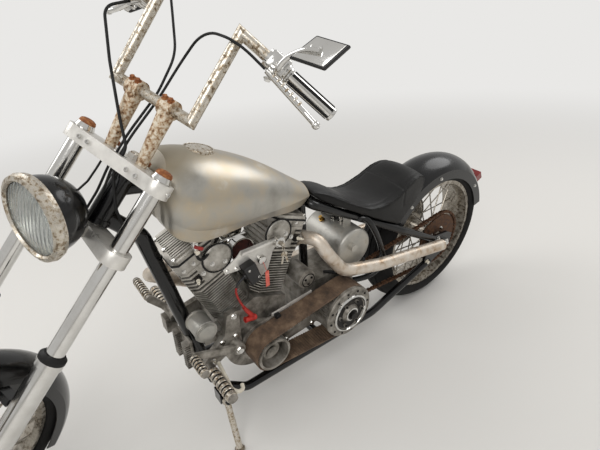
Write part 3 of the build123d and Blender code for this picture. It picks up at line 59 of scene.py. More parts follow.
def base_matrix(origin, across, up):
    """Millimetres in a local frame (left, rear, up) to metres in the row's frame."""
    rear = up.cross(across)
    facing = Matrix((across, rear, up)).transposed().to_4x4()
    return Matrix.Translation(origin) @ facing @ Matrix.Scale(MM, 4)


def joint_ray(name):
    """A joint's point and axis."""
    return Vector(JOINTS[name]["pos_m"]), Vector(JOINTS[name]["axis"]).normalized()


# Four frames of (left, rear, up) millimetres: the bike's, the turned fork's and the wheels'
REAR_RADIUS = 325.0
FRONT_RADIUS = 343.0
rear_hub, bike_across = joint_ray("rear_wheel_spin")
bike_up = bike_across.cross(Vector((0, 1, 0)))
BIKE = base_matrix(rear_hub - bike_up * REAR_RADIUS * MM, bike_across, bike_up)
neck_point, fork_up = joint_ray("steering")
front_hub, fork_across = joint_ray("front_wheel_spin")
FORK = base_matrix(neck_point, fork_across, fork_up)
REAR_WHEEL = base_matrix(rear_hub, bike_across, bike_up)
FRONT_WHEEL = base_matrix(front_hub, fork_across, fork_up)
ON_FORK = {"body": "fork", "place": FORK}
SIDES = (1, -1)

# The fork, its bars and mirrors, as the solids have them
OFFSET = 45.5
TUBE_PITCH = 254.0
SEAL_S = -460.0
AXLE_S = (FORK.inverted() @ front_hub).z
BAR_LEFT = ((0, -50, 143), (120, -50, 143), (120, -63, 355), (335, 73, 324))
RISER_X = 51.5
GRIP_LENGTH = 125.0
LAMP_TILT = 34.6
LAMP = FORK @ Matrix.Translation((0, -158, -190)) @ Matrix.Rotation(radians(90 + LAMP_TILT), 4, "X")
# The left mirror's corners and middle, as (left, up)
MIRROR = ((261, 347), (288, 409), (360, 419), (339, 357))
MIRROR_MIDDLE = (312, 383)
MIRROR_Y = -80.0

# The engine; the tops of the covers and of their gaskets are measured along each bore, front and rear
CRANK_Y = -898.0
CRANK_Z = 303.0
VEE_HALF = 22.5
COVER_TOP = (445.0, 427.0)
FACE_X = 76.0
BOSS_Y = 42.0
BOSS_S = 368.0
GASKET = ((-69, -61.2), (-53, -77.2), (53, -77.2), (69, -61.2), (69, 61.2), (53, 77.2), (-53, 77.2), (-69, 61.2))
GASKET_S = (424, 406)
CUP = (0, -918, 648)
OIL_FILTER = (0, -1072, 436)

# The primary belt, the clutch, the starter and the chain
CLUTCH_Y = -592.0
CLUTCH_Z = 311.0
BELT_INNER = 108.0
BELT_OUTER = 180.0
BELT_THICK = 6.0
BELT_GAP = 0.3
BELT_TOOTH = 2.5
BELT_TEETH = 108
PULLEY_RADIUS = 57.0
DRUM_RADIUS = 92.0
DRUM_FACE = BELT_OUTER + 13
DRUM_TEETH = 64
RIB_PITCH = 3.2
PLATE_X = 106.5
STARTER_Y = -709.0
STARTER_Z = 457.0
REAR_TEETH = 47
FRONT_TEETH = 23
CHAIN_PITCH = 15.875
CHAIN_X = 87.5
LINK_END = 5.6
LINK_WAIST = 4.3
PLATE_THICK = 1.9

# The coil with its lead, the seat's hump and the filler
COIL_X = 83.0
LEAD_X = COIL_X + 16
PLUG_LEAD = ((LEAD_X, -930.3, 573.9), (LEAD_X, -947.7, 567.7), (LEAD_X, -961.3, 553.7), (LEAD_X, -966.8, 535.5),
             (LEAD_X, -961.5, 505.5), (LEAD_X, -945.5, 462.5), (LEAD_X, -924, 423))
HUMP_Z = REAR_RADIUS + 353
FILLER = (0, -981, 936)
FILLER_TILT = radians(15)

# The stage, in metres: the floor fades to the backdrop's tone between these distances
BACKDROP = "#E9E8E6"
FLOOR_RADIUS = 45.0
FADE_FROM, FADE_TO = 1.6, 6.0
LAMP_TARGET = (0, 0, 0.5)
# The viewpoint solved from the photograph, in the bike's frame; the focal length is in pixels of its width
EYE = (1015.2, -1422.4, 1384.6)
YAW, PITCH, ROLL = radians(52.978), radians(31.857), radians(-0.602)
FOCAL, PHOTO_WIDTH, SENSOR = 451.05, 600, 36.0

# Each finish, named for what the real one is. Columns: name, tones as (place on the ramp, colour), patch size in mm,
# roughness from and to, metallic, grain size in mm, grain height in mm
FINISHES = {
    # Stoved gloss enamel: near black, mirror-like, with dust lying on it in thin patches
    "gloss_enamel": (
        "gloss_black_stoved_enamel", ((0.35, "#050506"), (0.62, "#0B0B0C"), (0.8, "#2A2622")),
        140, (0.12, 0.3)),
    # Bare drawn steel, hand ground: grey with warm patches where the metal has yellowed
    "ground_steel": (
        "hand_ground_bare_steel", ((0.28, "#97948C"), (0.45, "#AFACA5"), (0.6, "#BDB19C"), (0.72, "#CFCCC6")),
        150, (0.28, 0.42), 0.85, 2.2, 0.04),
    # Bare tank aluminium, dull and handled, with dark smears
    "bare_aluminium": (
        "handled_bare_aluminium", ((0.3, "#8C8982"), (0.45, "#A9A7A1"), (0.62, "#B9B5AC"), (0.74, "#9B8F7E")),
        70, (0.38, 0.52), 0.7, 1.8, 0.05),
    # Sand cast aluminium: dull grey, dark oily dirt in the low places
    "cast_aluminium": (
        "oily_sand_cast_aluminium", ((0.3, "#45413B"), (0.46, "#7D7870"), (0.6, "#A09B93"), (0.74, "#B9B4AC")),
        42, (0.38, 0.58), 0.65, 1.6, 0.12),
    # Machined aluminium fins, brighter than the casting
    "bright_aluminium": (
        "machined_aluminium_fins", ((0.3, "#5C5852"), (0.45, "#98948C"), (0.6, "#B6B2AB"), (0.74, "#CBC7C0")),
        38, (0.32, 0.5), 0.75, 1.0, 0.05),
    # Polished aluminium flat bar: even, soft mirror
    "polished_aluminium": (
        "polished_aluminium_bar", ((0.35, "#C4C1BB"), (0.55, "#DAD7D1"), (0.75, "#E6E3DD")),
        60, (0.26, 0.4), 0.5, 1.5, 0.02),
    # Old chrome plating: mirror with brown pits
    "pitted_chrome": (
        "pitted_chrome_plate", ((0.3, "#D6D1C8"), (0.5, "#C6BEB0"), (0.58, "#9E8E78"), (0.66, "#645544")),
        9, (0.2, 0.55), 0.85, 1.4, 0.05),
    # Clean chrome plating on the fork and small trim
    "chrome": (
        "clean_chrome_plate", ((0.35, "#DCDBD8"), (0.7, "#CFCDC9"), (0.8, "#A39A8C")),
        40, (0.07, 0.2), 1.0),
    # Rusted plated steel: cream scale, orange and brown rust
    "rusted_steel": (
        "rusted_plated_steel", ((0.32, "#503A2B"), (0.42, "#94714F"), (0.49, "#C0AB90"), (0.6, "#DCD3C2")),
        9, (0.35, 0.7), 0.45, 1.0, 0.15),
    # Red brown rust inside the cup
    "red_rust": (
        "red_brown_rust", ((0.3, "#1E0E0B"), (0.5, "#3C1A15"), (0.7, "#5A2A20")),
        14, (0.7, 0.9), 0.1, 1.0, 0.1),
    # Bolt heads gone orange with rust
    "orange_rust": (
        "orange_rusted_bolt", ((0.3, "#54301C"), (0.5, "#8C5128"), (0.7, "#B98A5A")),
        9, (0.6, 0.85), 0.2, 0.8, 0.15),
    # Exhaust pipe: chrome under cream and brown scale
    "exhaust_chrome": (
        "scaled_exhaust_chrome", ((0.24, "#7E6148"), (0.34, "#B09A82"), (0.48, "#CBBEAE"), (0.7, "#DAD3C9")),
        30, (0.3, 0.55), 0.6, 1.4, 0.06),
    # Wheel plating gone dull under road dirt; its dark tones are also painted shade inside the wheels
    "dirty_chrome_painted_shade": (
        "road_dirty_wheel_chrome", ((0.32, "#6A6257"), (0.46, "#938C81"), (0.6, "#B8B2A8"), (0.74, "#8A8276")),
        16, (0.2, 0.45), 0.9, 1.4, 0.03),
    # Chain steel: dark brown rust with bare edges
    "chain_steel": (
        "rusty_chain_steel", ((0.3, "#2A1D15"), (0.5, "#553A28"), (0.7, "#7A5A42")),
        12, (0.5, 0.8), 0.6, 1.0, 0.1),
    # Brake discs: bare steel, brown where the pads don't reach
    "disc_steel": (
        "brake_disc_steel", ((0.3, "#4A4038"), (0.48, "#7E7A75"), (0.6, "#97938D"), (0.74, "#6A5C4E")),
        34, (0.25, 0.45), 0.85, 1.4, 0.03),
    # Dark oily steel
    "oily_steel": (
        "oily_dark_steel", ((0.3, "#141312"), (0.55, "#2B2927"), (0.75, "#5A5148")),
        30, (0.35, 0.6), 0.7, 1.5, 0.05),
    # Tyre rubber: dull black with grey bloom
    "tyre_rubber": (
        "aged_tyre_rubber", ((0.35, "#0C0B0B"), (0.6, "#151413"), (0.8, "#2A2622")),
        50, (0.72, 0.9), 0.0, 1.2, 0.08),
    # Toothed drive belt, brown with road dust
    "dusty_belt": (
        "dusty_woven_belt", ((0.3, "#3A2E25"), (0.5, "#5C4939"), (0.72, "#7C6753")),
        34, (0.8, 0.95), 0.0, 1.4, 0.2),
    # Moulded rubber on grips, boots and pegs
    "moulded_rubber": (
        "moulded_black_rubber", ((0.35, "#0A0A0A"), (0.65, "#141312"), (0.8, "#2A2622")),
        30, (0.55, 0.75), 0.0, 1.0, 0.05),
    # Full grain leather, worn to a soft shine on its crown
    "leather": (
        "worn_black_leather", ((0.32, "#0A0A0A"), (0.6, "#131211"), (0.8, "#24201D")),
        70, (0.4, 0.56), 0.0, 2.0, 0.22),
    # Injection moulded black plastic
    "black_plastic": (
        "moulded_black_plastic", ((0.35, "#101011"), (0.7, "#1C1B1B"), (0.85, "#3A352F")),
        36, (0.35, 0.5), 0.0, 1.0, 0.03),
    # Yellow brass of the vent
    "brass": (
        "tarnished_brass", ((0.3, "#7A5B2C"), (0.55, "#B08A46"), (0.75, "#C9A866")),
        14, (0.28, 0.45), 0.95),
    # Plastics, rubbers and paper of the small fittings
    "red_plastic": (
        "red_moulded_plastic", ((0.4, "#7A1512"), (0.7, "#A5231D")),
        20, (0.35, 0.5)),
    "red_rubber": (
        "red_silicone_boot", ((0.35, "#8E1B16"), (0.6, "#B02A20"), (0.8, "#C25A4A")),
        18, (0.45, 0.6), 0.0, 0.8, 0.03),
    "lead_rubber": (
        "red_lead_black_at_the_coil", ((0.35, "#8E1B16"), (0.6, "#B02A20")),
        24, (0.45, 0.65)),
    "pink_tag": (
        "pink_paper_tag", ((0.4, "#C8574A"), (0.7, "#DB7A6A")),
        14, (0.7, 0.85)),
    "cream_plastic": (
        "cream_moulded_plastic", ((0.4, "#CFC6B4"), (0.7, "#E2DCCD")),
        20, (0.4, 0.55)),
    # Silvered reflector behind the lamp's glass
    "reflector": (
        "silvered_reflector", ((0.4, "#D2D0CA"), (0.7, "#BDB8AC")),
        40, (0.12, 0.25), 1.0),
    # Mirror glass
    "mirror_glass": (
        "silvered_mirror_glass", ((0.4, "#DADCDC"), (0.7, "#CBCDCD")),
        60, (0.03, 0.08), 1.0),
    # Red acrylic of the tail lamp
    "red_lens": (
        "red_acrylic_lens", ((0.4, "#6A0D0C"), (0.7, "#8C1512")),
        30, (0.1, 0.2)),
}
# The fuel tank is of the cap's steel, with a matt brown painted shade on it in the recess behind the neck
FINISHES["tank_steel"] = ("browned_tank_steel", *FINISHES["ground_steel"][1:])

# Shader sockets that a finish sets besides
SOCKETS = {
    "gloss_enamel": {"Specular IOR Level": 0.35, "Coat Weight": 0.25, "Coat Roughness": 0.08},
    "tyre_rubber": {"Specular IOR Level": 0.3},
    "moulded_rubber": {"Specular IOR Level": 0.35},
    "leather": {"Specular IOR Level": 0.3},
    "red_lens": {"Coat Weight": 0.4},
}

# The material of each finish, by its key
MATERIALS = {}


def linear(text):
    """An sRGB hex colour as linear red, green, blue and alpha."""
    channels = [int(text[i:i + 2], 16) / 255 for i in (1, 3, 5)]
    return tuple(c / 12.92 if c <= 0.04045 else ((c + 0.055) / 1.055) ** 2.4 for c in channels) + (1.0,)


def add_node(tree, kind, values=None, links=None, **settings):
    """Add a node with its settings, socket values and incoming links."""
    node = tree.nodes.new(kind)
    for key, value in settings.items():
        setattr(node, key, value)
    for socket, value in (values or {}).items():
        node.inputs[socket].default_value = value
    for socket, source in (links or {}).items():
        tree.links.new(source, node.inputs[socket])
    return node


def new_material(name):
    """A material, its nodes and its shader."""
    material = bpy.data.materials.new(name)
    material.use_nodes = True
    return material, material.node_tree, material.node_tree.nodes["Principled BSDF"]


def object_place(tree):
    """A point's place in its object's own coordinates."""
    return add_node(tree, "ShaderNodeTexCoord").outputs["Object"]


def local_place(tree, matrix):
    """A point's place in metres in the frame of this matrix."""
    return add_node(tree, "ShaderNodeMapping", {"Location": matrix.to_translation(), "Rotation": matrix.to_euler()},
                    {"Vector": object_place(tree)}, vector_type="TEXTURE").outputs["Vector"]


def worn_surface(name, tones, patch_mm, roughness, metallic=0.0, grain_mm=0.0, grain_height=0.0, cells=False,
                 sockets=None):
    """A material whose tones lie in patches, with a fine grain that lifts the surface."""
    material, tree, shader = new_material(name)
    place = object_place(tree)
    patches = add_node(tree, "ShaderNodeTexNoise", {"Scale": 1000 / patch_mm, "Detail": 9.0, "Roughness": 0.62},
                       {"Vector": place})
    ramp = add_node(tree, "ShaderNodeValToRGB", None, {"Fac": patches.outputs["Fac"]})
    stops = ramp.color_ramp.elements
    while len(stops) < len(tones):
        stops.new(0.5)
    for stop, (position, colour) in zip(stops, tones):
        stop.position = position
        stop.color = linear(colour)
    gloss = add_node(tree, "ShaderNodeMapRange",
                     {"From Min": 0.35, "From Max": 0.65, "To Min": roughness[0], "To Max": roughness[1]},
                     {"Value": patches.outputs["Fac"]})
    tree.links.new(ramp.outputs["Color"], shader.inputs["Base Color"])
    tree.links.new(gloss.outputs["Result"], shader.inputs["Roughness"])
    for socket, value in {"Metallic": metallic, **(sockets or {})}.items():
        shader.inputs[socket].default_value = value
    if grain_height:
        kind = "ShaderNodeTexVoronoi" if cells else "ShaderNodeTexNoise"
        grain = add_node(tree, kind, {"Scale": 1000 / grain_mm}, {"Vector": place})
        lift = add_node(tree, "ShaderNodeBump", {"Strength": 0.6, "Distance": grain_height * MM},
                        {"Height": grain.outputs["Distance" if cells else "Fac"]})
        tree.links.new(lift.outputs["Normal"], shader.inputs["Normal"])
    return material


def paint_shade_near_axis(material, axis, near, far, colour):
    """Painted shade: matt brown within this distance in millimetres of an axis, fading to the bare metal."""
    tree = material.node_tree
    shader = tree.nodes["Principled BSDF"]
    flat = add_node(tree, "ShaderNodeVectorMath", {1: (1, 1, 0)}, {0: local_place(tree, axis)}, operation="MULTIPLY")
    reach = add_node(tree, "ShaderNodeVectorMath", None, {0: flat.outputs["Vector"]}, operation="LENGTH")
    value = {"Value": reach.outputs["Value"]}
    span = {"From Min": near * MM, "From Max": far * MM}
    fade = add_node(tree, "ShaderNodeMapRange", span, value)
    metal = add_node(tree, "ShaderNodeMapRange", span | {"To Min": 0.2, "To Max": 0.85}, value)
    base = shader.inputs["Base Color"]
    mixed = add_node(tree, "ShaderNodeMixRGB", {"Color1": linear(colour)},
                     {"Fac": fade.outputs["Result"], "Color2": base.links[0].from_socket})
    tree.links.new(mixed.outputs["Color"], base)
    tree.links.new(metal.outputs["Result"], shader.inputs["Metallic"])


def two_tone(material, height, colour):
    """Another colour on everything above this height."""
    tree = material.node_tree
    base = tree.nodes["Principled BSDF"].inputs["Base Color"]
    parts = add_node(tree, "ShaderNodeSeparateXYZ", None, {"Vector": object_place(tree)})
    above = add_node(tree, "ShaderNodeMath", {1: height}, {0: parts.outputs["Z"]}, operation="GREATER_THAN")
    mixed = add_node(tree, "ShaderNodeMixRGB", {"Color2": linear(colour)},
                     {"Fac": above.outputs["Value"], "Color1": base.links[0].from_socket})
    tree.links.new(mixed.outputs["Color"], base)


def fluted_glass():
    """Pressed lamp glass: clear, with upright flutes that break up what lies behind."""
    material, tree, shader = new_material("pressed_fluted_lamp_glass")
    for socket, value in {"Base Color": linear("#E8ECEA"), "Roughness": 0.08, "IOR": 1.5,
                          "Transmission Weight": 0.85}.items():
        shader.inputs[socket].default_value = value
    flutes = add_node(tree, "ShaderNodeTexWave", {"Scale": 28.0, "Distortion": 0.0},
                      {"Vector": local_place(tree, LAMP)}, bands_direction="X")
    lift = add_node(tree, "ShaderNodeBump", {"Strength": 0.8, "Distance": 0.002}, {"Height": flutes.outputs["Fac"]})
    tree.links.new(lift.outputs["Normal"], shader.inputs["Normal"])
    return material


def build_materials():
    """Every finish of the machine."""
    for key, row in FINISHES.items():
        MATERIALS[key] = worn_surface(*row, cells=key == "leather", sockets=SOCKETS.get(key))
    # Painted shade on the tank in the recess round the steering axis, behind the neck
    paint_shade_near_axis(MATERIALS["tank_steel"], FORK, 95, 150, "#8D8472")
    two_tone(MATERIALS["lead_rubber"], (BIKE @ Vector((LEAD_X, -955, 548))).z, "#17171A")
    MATERIALS["lamp_glass"] = fluted_glass()


def add_piece(name, shape, finish, body="frame", place=BIKE, slot=None, closed=True, sharp=35.0, replaces=()):
    """Turn a finished bmesh in millimetres into a piece that rides on a body."""
    bmesh.ops.transform(shape, matrix=place, verts=shape.verts)
    if closed:
        bmesh.ops.recalc_face_normals(shape, faces=shape.faces)
    mesh = bpy.data.meshes.new(name)
    shape.to_mesh(mesh)
    shape.free()
    mesh.shade_smooth()
    mesh.set_sharp_from_angle(angle=radians(sharp))
    mesh.materials.append(MATERIALS[finish])
    piece = bpy.data.objects.new(name, mesh)
    bpy.context.scene.collection.objects.link(piece)
    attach(piece, body)
    if replaces:
        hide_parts(*replaces)
    return piece


def merge(shape, part, place=None):
    """Move one bmesh into another, placed by a matrix."""
    if place:
        bmesh.ops.transform(part, matrix=place, verts=part.verts)
    mesh = bpy.data.meshes.new("part")
    part.to_mesh(mesh)
    part.free()
    shape.from_mesh(mesh)
    bpy.data.meshes.remove(mesh)
    return shape


def at(*point):
    """Matrix that moves the origin to a point."""
    return Matrix.Translation(point)


def turn(degrees, axis="X"):
    """Matrix that turns about an axis."""
    return Matrix.Rotation(radians(degrees), 4, axis)


def aim(point, direction):
    """Matrix that takes local X to a direction at a point."""
    return at(*point) @ Vector(direction).to_track_quat("X", "Z").to_matrix().to_4x4()


def on_circle(radius, count, start=0, y=0, z=0):
    """Evenly spaced (y, z) places on a circle, from this angle in degrees."""
    return [(y + radius * cos(a), z + radius * sin(a))
            for a in (radians(start + 360 * index / count) for index in range(count))]


def lathe(shape, profile, steps=64, place=None, ring=False):
    """Spin an (x, radius) profile about the local X axis and add it to this bmesh."""
    part = bmesh.new()
    points = [part.verts.new((x, 0, radius)) for x, radius in profile]
    edges = [part.edges.new(pair) for pair in zip(points, points[1:])]
    if ring:
        edges.append(part.edges.new((points[-1], points[0])))
    bmesh.ops.spin(part, geom=points + edges, cent=(0, 0, 0), axis=(1, 0, 0), angle=2 * pi, steps=steps,
                   use_merge=True, use_duplicate=False)
    bmesh.ops.remove_doubles(part, verts=part.verts, dist=0.01)
    bmesh.ops.recalc_face_normals(part, faces=part.faces)
    return merge(shape, part, place)


def prism(shape, outline, low, high, place=None, bevel=0.0, steps=2):
    """A plate with this (y, z) outline between two x values, its edges rounded."""
    part = bmesh.new()
    face = part.faces.new([part.verts.new((low, y, z)) for y, z in outline])
    made = bmesh.ops.extrude_face_region(part, geom=[face])["geom"]
    bmesh.ops.translate(part, vec=(high - low, 0, 0), verts=[v for v in made if isinstance(v, bmesh.types.BMVert)])
    bmesh.ops.recalc_face_normals(part, faces=part.faces)
    if bevel:
        bmesh.ops.bevel(part, geom=part.edges, offset=bevel, segments=steps, profile=0.5, material=-1,
                        affect="EDGES", clamp_overlap=True)
    return merge(shape, part, place)


def smooth_line(points, parts=6):
    """Points on a Catmull-Rom line through the given ones."""
    padded = [points[0] * 2 - points[1]] + points + [points[-1] * 2 - points[-2]]
    line = []
    for a, b, c, d in zip(padded, padded[1:], padded[2:], padded[3:]):
        for t in (k / parts for k in range(parts)):
            line.append(0.5 * (2 * b + (c - a) * t + (2 * a - 5 * b + 4 * c - d) * t * t
                               + (3 * b - a - 3 * c + d) * t ** 3))
    return line + [points[-1]]


def bend_bar(shape, points, radius, sides, taper=None):
    """A bar swept along a smooth line through these points, its ends closed."""
    part = bmesh.new()
    line = smooth_line([Vector(point) for point in points])
    side = (line[1] - line[0]).orthogonal().normalized()
    rings = []
    for index, spot in enumerate(line):
        ahead = (line[min(index + 1, len(line) - 1)] - line[max(index - 1, 0)]).normalized()
        side = (side - ahead * side.dot(ahead)).normalized()
        other = ahead.cross(side)
        size = radius if taper is None else radius + (taper - radius) * index / (len(line) - 1)
        rings.append([part.verts.new(spot + side * u + other * v) for u, v in on_circle(size, sides)])
    for low, high in zip(rings, rings[1:]):
        for k in range(sides):
            part.faces.new((low[k], low[(k + 1) % sides], high[(k + 1) % sides], high[k]))
    for ring in (rings[0], rings[-1]):
        part.faces.new(ring)
    bmesh.ops.recalc_face_normals(part, faces=part.faces)
    return merge(shape, part)


def hex_bolt(shape, point, direction, radius, height, washer):
    """A hexagon bolt head on its washer, standing on a face at this point."""
    up = Vector(direction).to_track_quat("Z", "Y").to_matrix().to_4x4()
    for segments, size, low, high in ((24, radius * 1.35, -0.4, washer), (6, radius, washer - 0.2, washer + height)):
        bmesh.ops.create_cone(shape, cap_ends=True, segments=segments, radius1=size, radius2=size,
                              depth=high - low, matrix=at(*point) @ up @ at(0, 0, (low + high) / 2))


def side_bolts(shape, x, places, *size):
    """Hexagon bolts of one size that face outwards at these (y, z) places."""
    for y, z in places:
        hex_bolt(shape, (x, y, z), (1 if x > 0 else -1, 0, 0), *size)


def cap_screw(shape, point, direction, radius, height):
    """A socket head screw with its hollow, standing on a face at this point."""
    profile = ((-0.4, 0), (-0.4, radius), (height - 0.6, radius), (height, radius - 0.6), (height, radius * 0.55),
               (height - 2.5, radius * 0.55), (height - 2.5, 0))
    lathe(shape, profile, 16, aim(point, direction))


def wire(name, points, radius, finish):
    """A smooth round cable through these control points."""
    curve = bpy.data.curves.new(name, "CURVE")
    curve.dimensions = "3D"
    curve.bevel_depth = radius * MM
    curve.bevel_resolution = 4
    curve.resolution_u = 12
    curve.use_fill_caps = True
    spline = curve.splines.new("NURBS")
    spline.points.add(len(points) - 1)
    for spot, point in zip(spline.points, points):
        spot.co = (*(BIKE @ Vector(point)), 1.0)
    spline.order_u = 3
    spline.use_endpoint_u = True
    curve.materials.append(MATERIALS[finish])
    cable = bpy.data.objects.new(name, curve)
    bpy.context.scene.collection.objects.link(cable)
    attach(cable, "frame")
    return cable


def on_bar(distance, side=1, out=(0, 0, 0)):
    """Point this far in from the bar's end, with an offset, on either side."""
    tip = Vector(BAR_LEFT[3])
    spot = tip + (Vector(BAR_LEFT[2]) - tip).normalized() * distance + Vector(out)
    return Vector((side * spot.x, spot.y, spot.z))


def loop_stations(front, front_radius, rear, rear_radius, count):
    """Evenly spaced places on the loop round two wheels, as (y, z) points with their outward normals."""
    front, rear = Vector(front), Vector(rear)
    reach = (rear - front).length
    u = (rear - front) / reach
    v = Vector((-u.y, u.x))
    tilt = asin((rear_radius - front_radius) / reach)
    run = reach * cos(tilt)
    upper = v * cos(tilt) - u * sin(tilt)
    lower = -v * cos(tilt) - u * sin(tilt)
    # Columns: wheel, radius, normal at the leg's start, length, whether the leg is straight
    legs = ((front, front_radius, upper, run, True), (rear, rear_radius, upper, (pi + 2 * tilt) * rear_radius, False),
            (rear, rear_radius, lower, run, True), (front, front_radius, lower, (pi - 2 * tilt) * front_radius, False))
    pitch = sum(leg[3] for leg in legs) / count
    stations = []
    left = 0.0
    for wheel, radius, start, length, straight in legs:
        while left < length and len(stations) < count:
            a = 0.0 if straight else left / radius
            normal = Vector((start.x * cos(a) + start.y * sin(a), start.y * cos(a) - start.x * sin(a)))
            ahead = Vector((start.y, -start.x)) * (left if straight else 0.0)
            stations.append((wheel + normal * radius + ahead, normal))
            left += pitch
        left -= length
    return stations


def between(table, value):
    """The table's second column at this value of its first, on straight lines."""
    for (a, low), (b, high) in zip(table, table[1:]):
        if value <= b:
            return low + (high - low) * max(0.0, (value - a) / (b - a))
    return table[-1][1]


class ChopperSizes(bpy.types.PropertyGroup):
    """Sizes of the trim that Blender adds."""

    groove_depth: FloatProperty(name="Tread groove", description="Depth of the grooves round the tyres in mm",
                                default=5.0, min=1.0, max=8.0)
    groove_width: FloatProperty(name="Groove width", description="Width of the grooves round the tyres in mm",
                                default=5.0, min=2.0, max=8.0)
    grip_bands: IntProperty(name="Grip bands", description="Rubber strips along each grip", default=5, min=2, max=9)
    drum_ribs: IntProperty(name="Drum ribs", description="Ribs round the clutch drum beside the belt", default=3,
                           min=1, max=6)


class ChopperColours(bpy.types.PropertyGroup):
    """Colours of the stage."""

    floor: FloatVectorProperty(name="Floor", description="Colour of the studio floor", subtype="COLOR", size=4,
                               default=linear("#DAD8D4"), min=0.0, max=1.0)


class ChopperOperator:
    """What every step of the build shares."""

    bl_options = {"REGISTER", "UNDO"}

    def execute(self, context):
        self.build(context.scene)
        return {"FINISHED"}


def build_world(scene):
    """A pale backdrop that lights the machine a little less than the camera sees it."""
    world = bpy.data.worlds.new("soft_studio")
    world.use_nodes = True
    tree = world.node_tree
    tree.nodes.clear()
    rays = add_node(tree, "ShaderNodeLightPath")
    seen = add_node(tree, "ShaderNodeMath", None,
                    {0: rays.outputs["Is Camera Ray"], 1: rays.outputs["Is Transmission Ray"]}, operation="MAXIMUM")
    glow = add_node(tree, "ShaderNodeMapRange", {"To Min": 0.75, "To Max": 1.0}, {"Value": seen.outputs[0]})
    sky = add_node(tree, "ShaderNodeBackground", {"Color": linear(BACKDROP)}, {"Strength": glow.outputs["Result"]})
    add_node(tree, "ShaderNodeOutputWorld", None, {"Surface": sky.outputs[0]})
    scene.world = world


def build_floor(scene):
    """A wide floor that takes the backdrop's tone away from the machine, for what the camera sees only."""
    circle = bmesh.new()
    bmesh.ops.create_circle(circle, cap_ends=True, segments=96, radius=FLOOR_RADIUS)
    mesh = bpy.data.meshes.new("studio_floor")
    circle.to_mesh(mesh)
    circle.free()
    paint, tree, shader = new_material("pale_studio_floor")
    shader.inputs["Base Color"].default_value = scene.chopper_colours.floor
    shader.inputs["Roughness"].default_value = 0.9
    rays = add_node(tree, "ShaderNodeLightPath")
    reach = add_node(tree, "ShaderNodeVectorMath", None, {0: object_place(tree)}, operation="LENGTH")
    fade = add_node(tree, "ShaderNodeMapRange", {"From Min": FADE_FROM, "From Max": FADE_TO},
                    {"Value": reach.outputs["Value"]}, interpolation_type="SMOOTHSTEP")
    share = add_node(tree, "ShaderNodeMath", None, {0: fade.outputs["Result"], 1: rays.outputs["Is Camera Ray"]},
                     operation="MULTIPLY")
    backdrop = add_node(tree, "ShaderNodeEmission", {"Color": linear(BACKDROP)})
    mixed = add_node(tree, "ShaderNodeMixShader", None,
                     {0: share.outputs[0], 1: shader.outputs[0], 2: backdrop.outputs[0]})
    tree.links.new(mixed.outputs[0], tree.nodes["Material Output"].inputs["Surface"])
    mesh.materials.append(paint)
    floor = bpy.data.objects.new("studio_floor", mesh)
    floor.location.z = -0.0005
    scene.collection.objects.link(floor)


def build_lamps(scene):
    """Three round soft lamps that face the machine."""
    # Columns: place, size, power
    lamps = (((2.6, -2.2, 3.4), 2.6, 70.0), ((-2.4, -1.8, 3.2), 2.6, 46.0), ((0.3, 3.2, 3.0), 2.4, 40.0))
    for number, (place, size, power) in enumerate(lamps, 1):
        light = bpy.data.lights.new(f"softbox_{number}", "AREA")
        light.shape = "DISK"
        light.size = size
        light.energy = power
        lamp = bpy.data.objects.new(f"softbox_{number}", light)
        lamp.location = place
        lamp.rotation_euler = (Vector(LAMP_TARGET) - Vector(place)).to_track_quat("-Z", "Y").to_euler()
        scene.collection.objects.link(lamp)


def build_camera(scene):
    """The camera at the photograph's viewpoint."""
    ahead = Vector((-sin(YAW) * cos(PITCH), cos(YAW) * cos(PITCH), -sin(PITCH)))
    right = Vector((cos(YAW), sin(YAW), 0))
    up = right.cross(ahead)
    level_right = right * cos(ROLL) + up * sin(ROLL)
    level_up = -right * sin(ROLL) + up * cos(ROLL)
    facing = Matrix((level_right, level_up, -ahead)).transposed().to_4x4()
    lens = bpy.data.cameras.new("photo_viewpoint")
    lens.sensor_width = SENSOR
    lens.lens = FOCAL / PHOTO_WIDTH * SENSOR
    lens.clip_end = 120.0
    camera = bpy.data.objects.new("photo_viewpoint", lens)
    camera.matrix_world = at(*(BIKE @ Vector(EYE))) @ BIKE.to_quaternion().to_matrix().to_4x4() @ facing
    scene.collection.objects.link(camera)
    scene.camera = camera


class CHOPPER_OT_stage(ChopperOperator, bpy.types.Operator):
    """Set up the floor, the soft lamps and the camera at the photograph's viewpoint"""

    bl_idname = "chopper.stage"
    bl_label = "Stage"

    def build(self, scene):
        scene.view_settings.view_transform = "Standard"
        build_world(scene)
        build_floor(scene)
        build_lamps(scene)
        build_camera(scene)


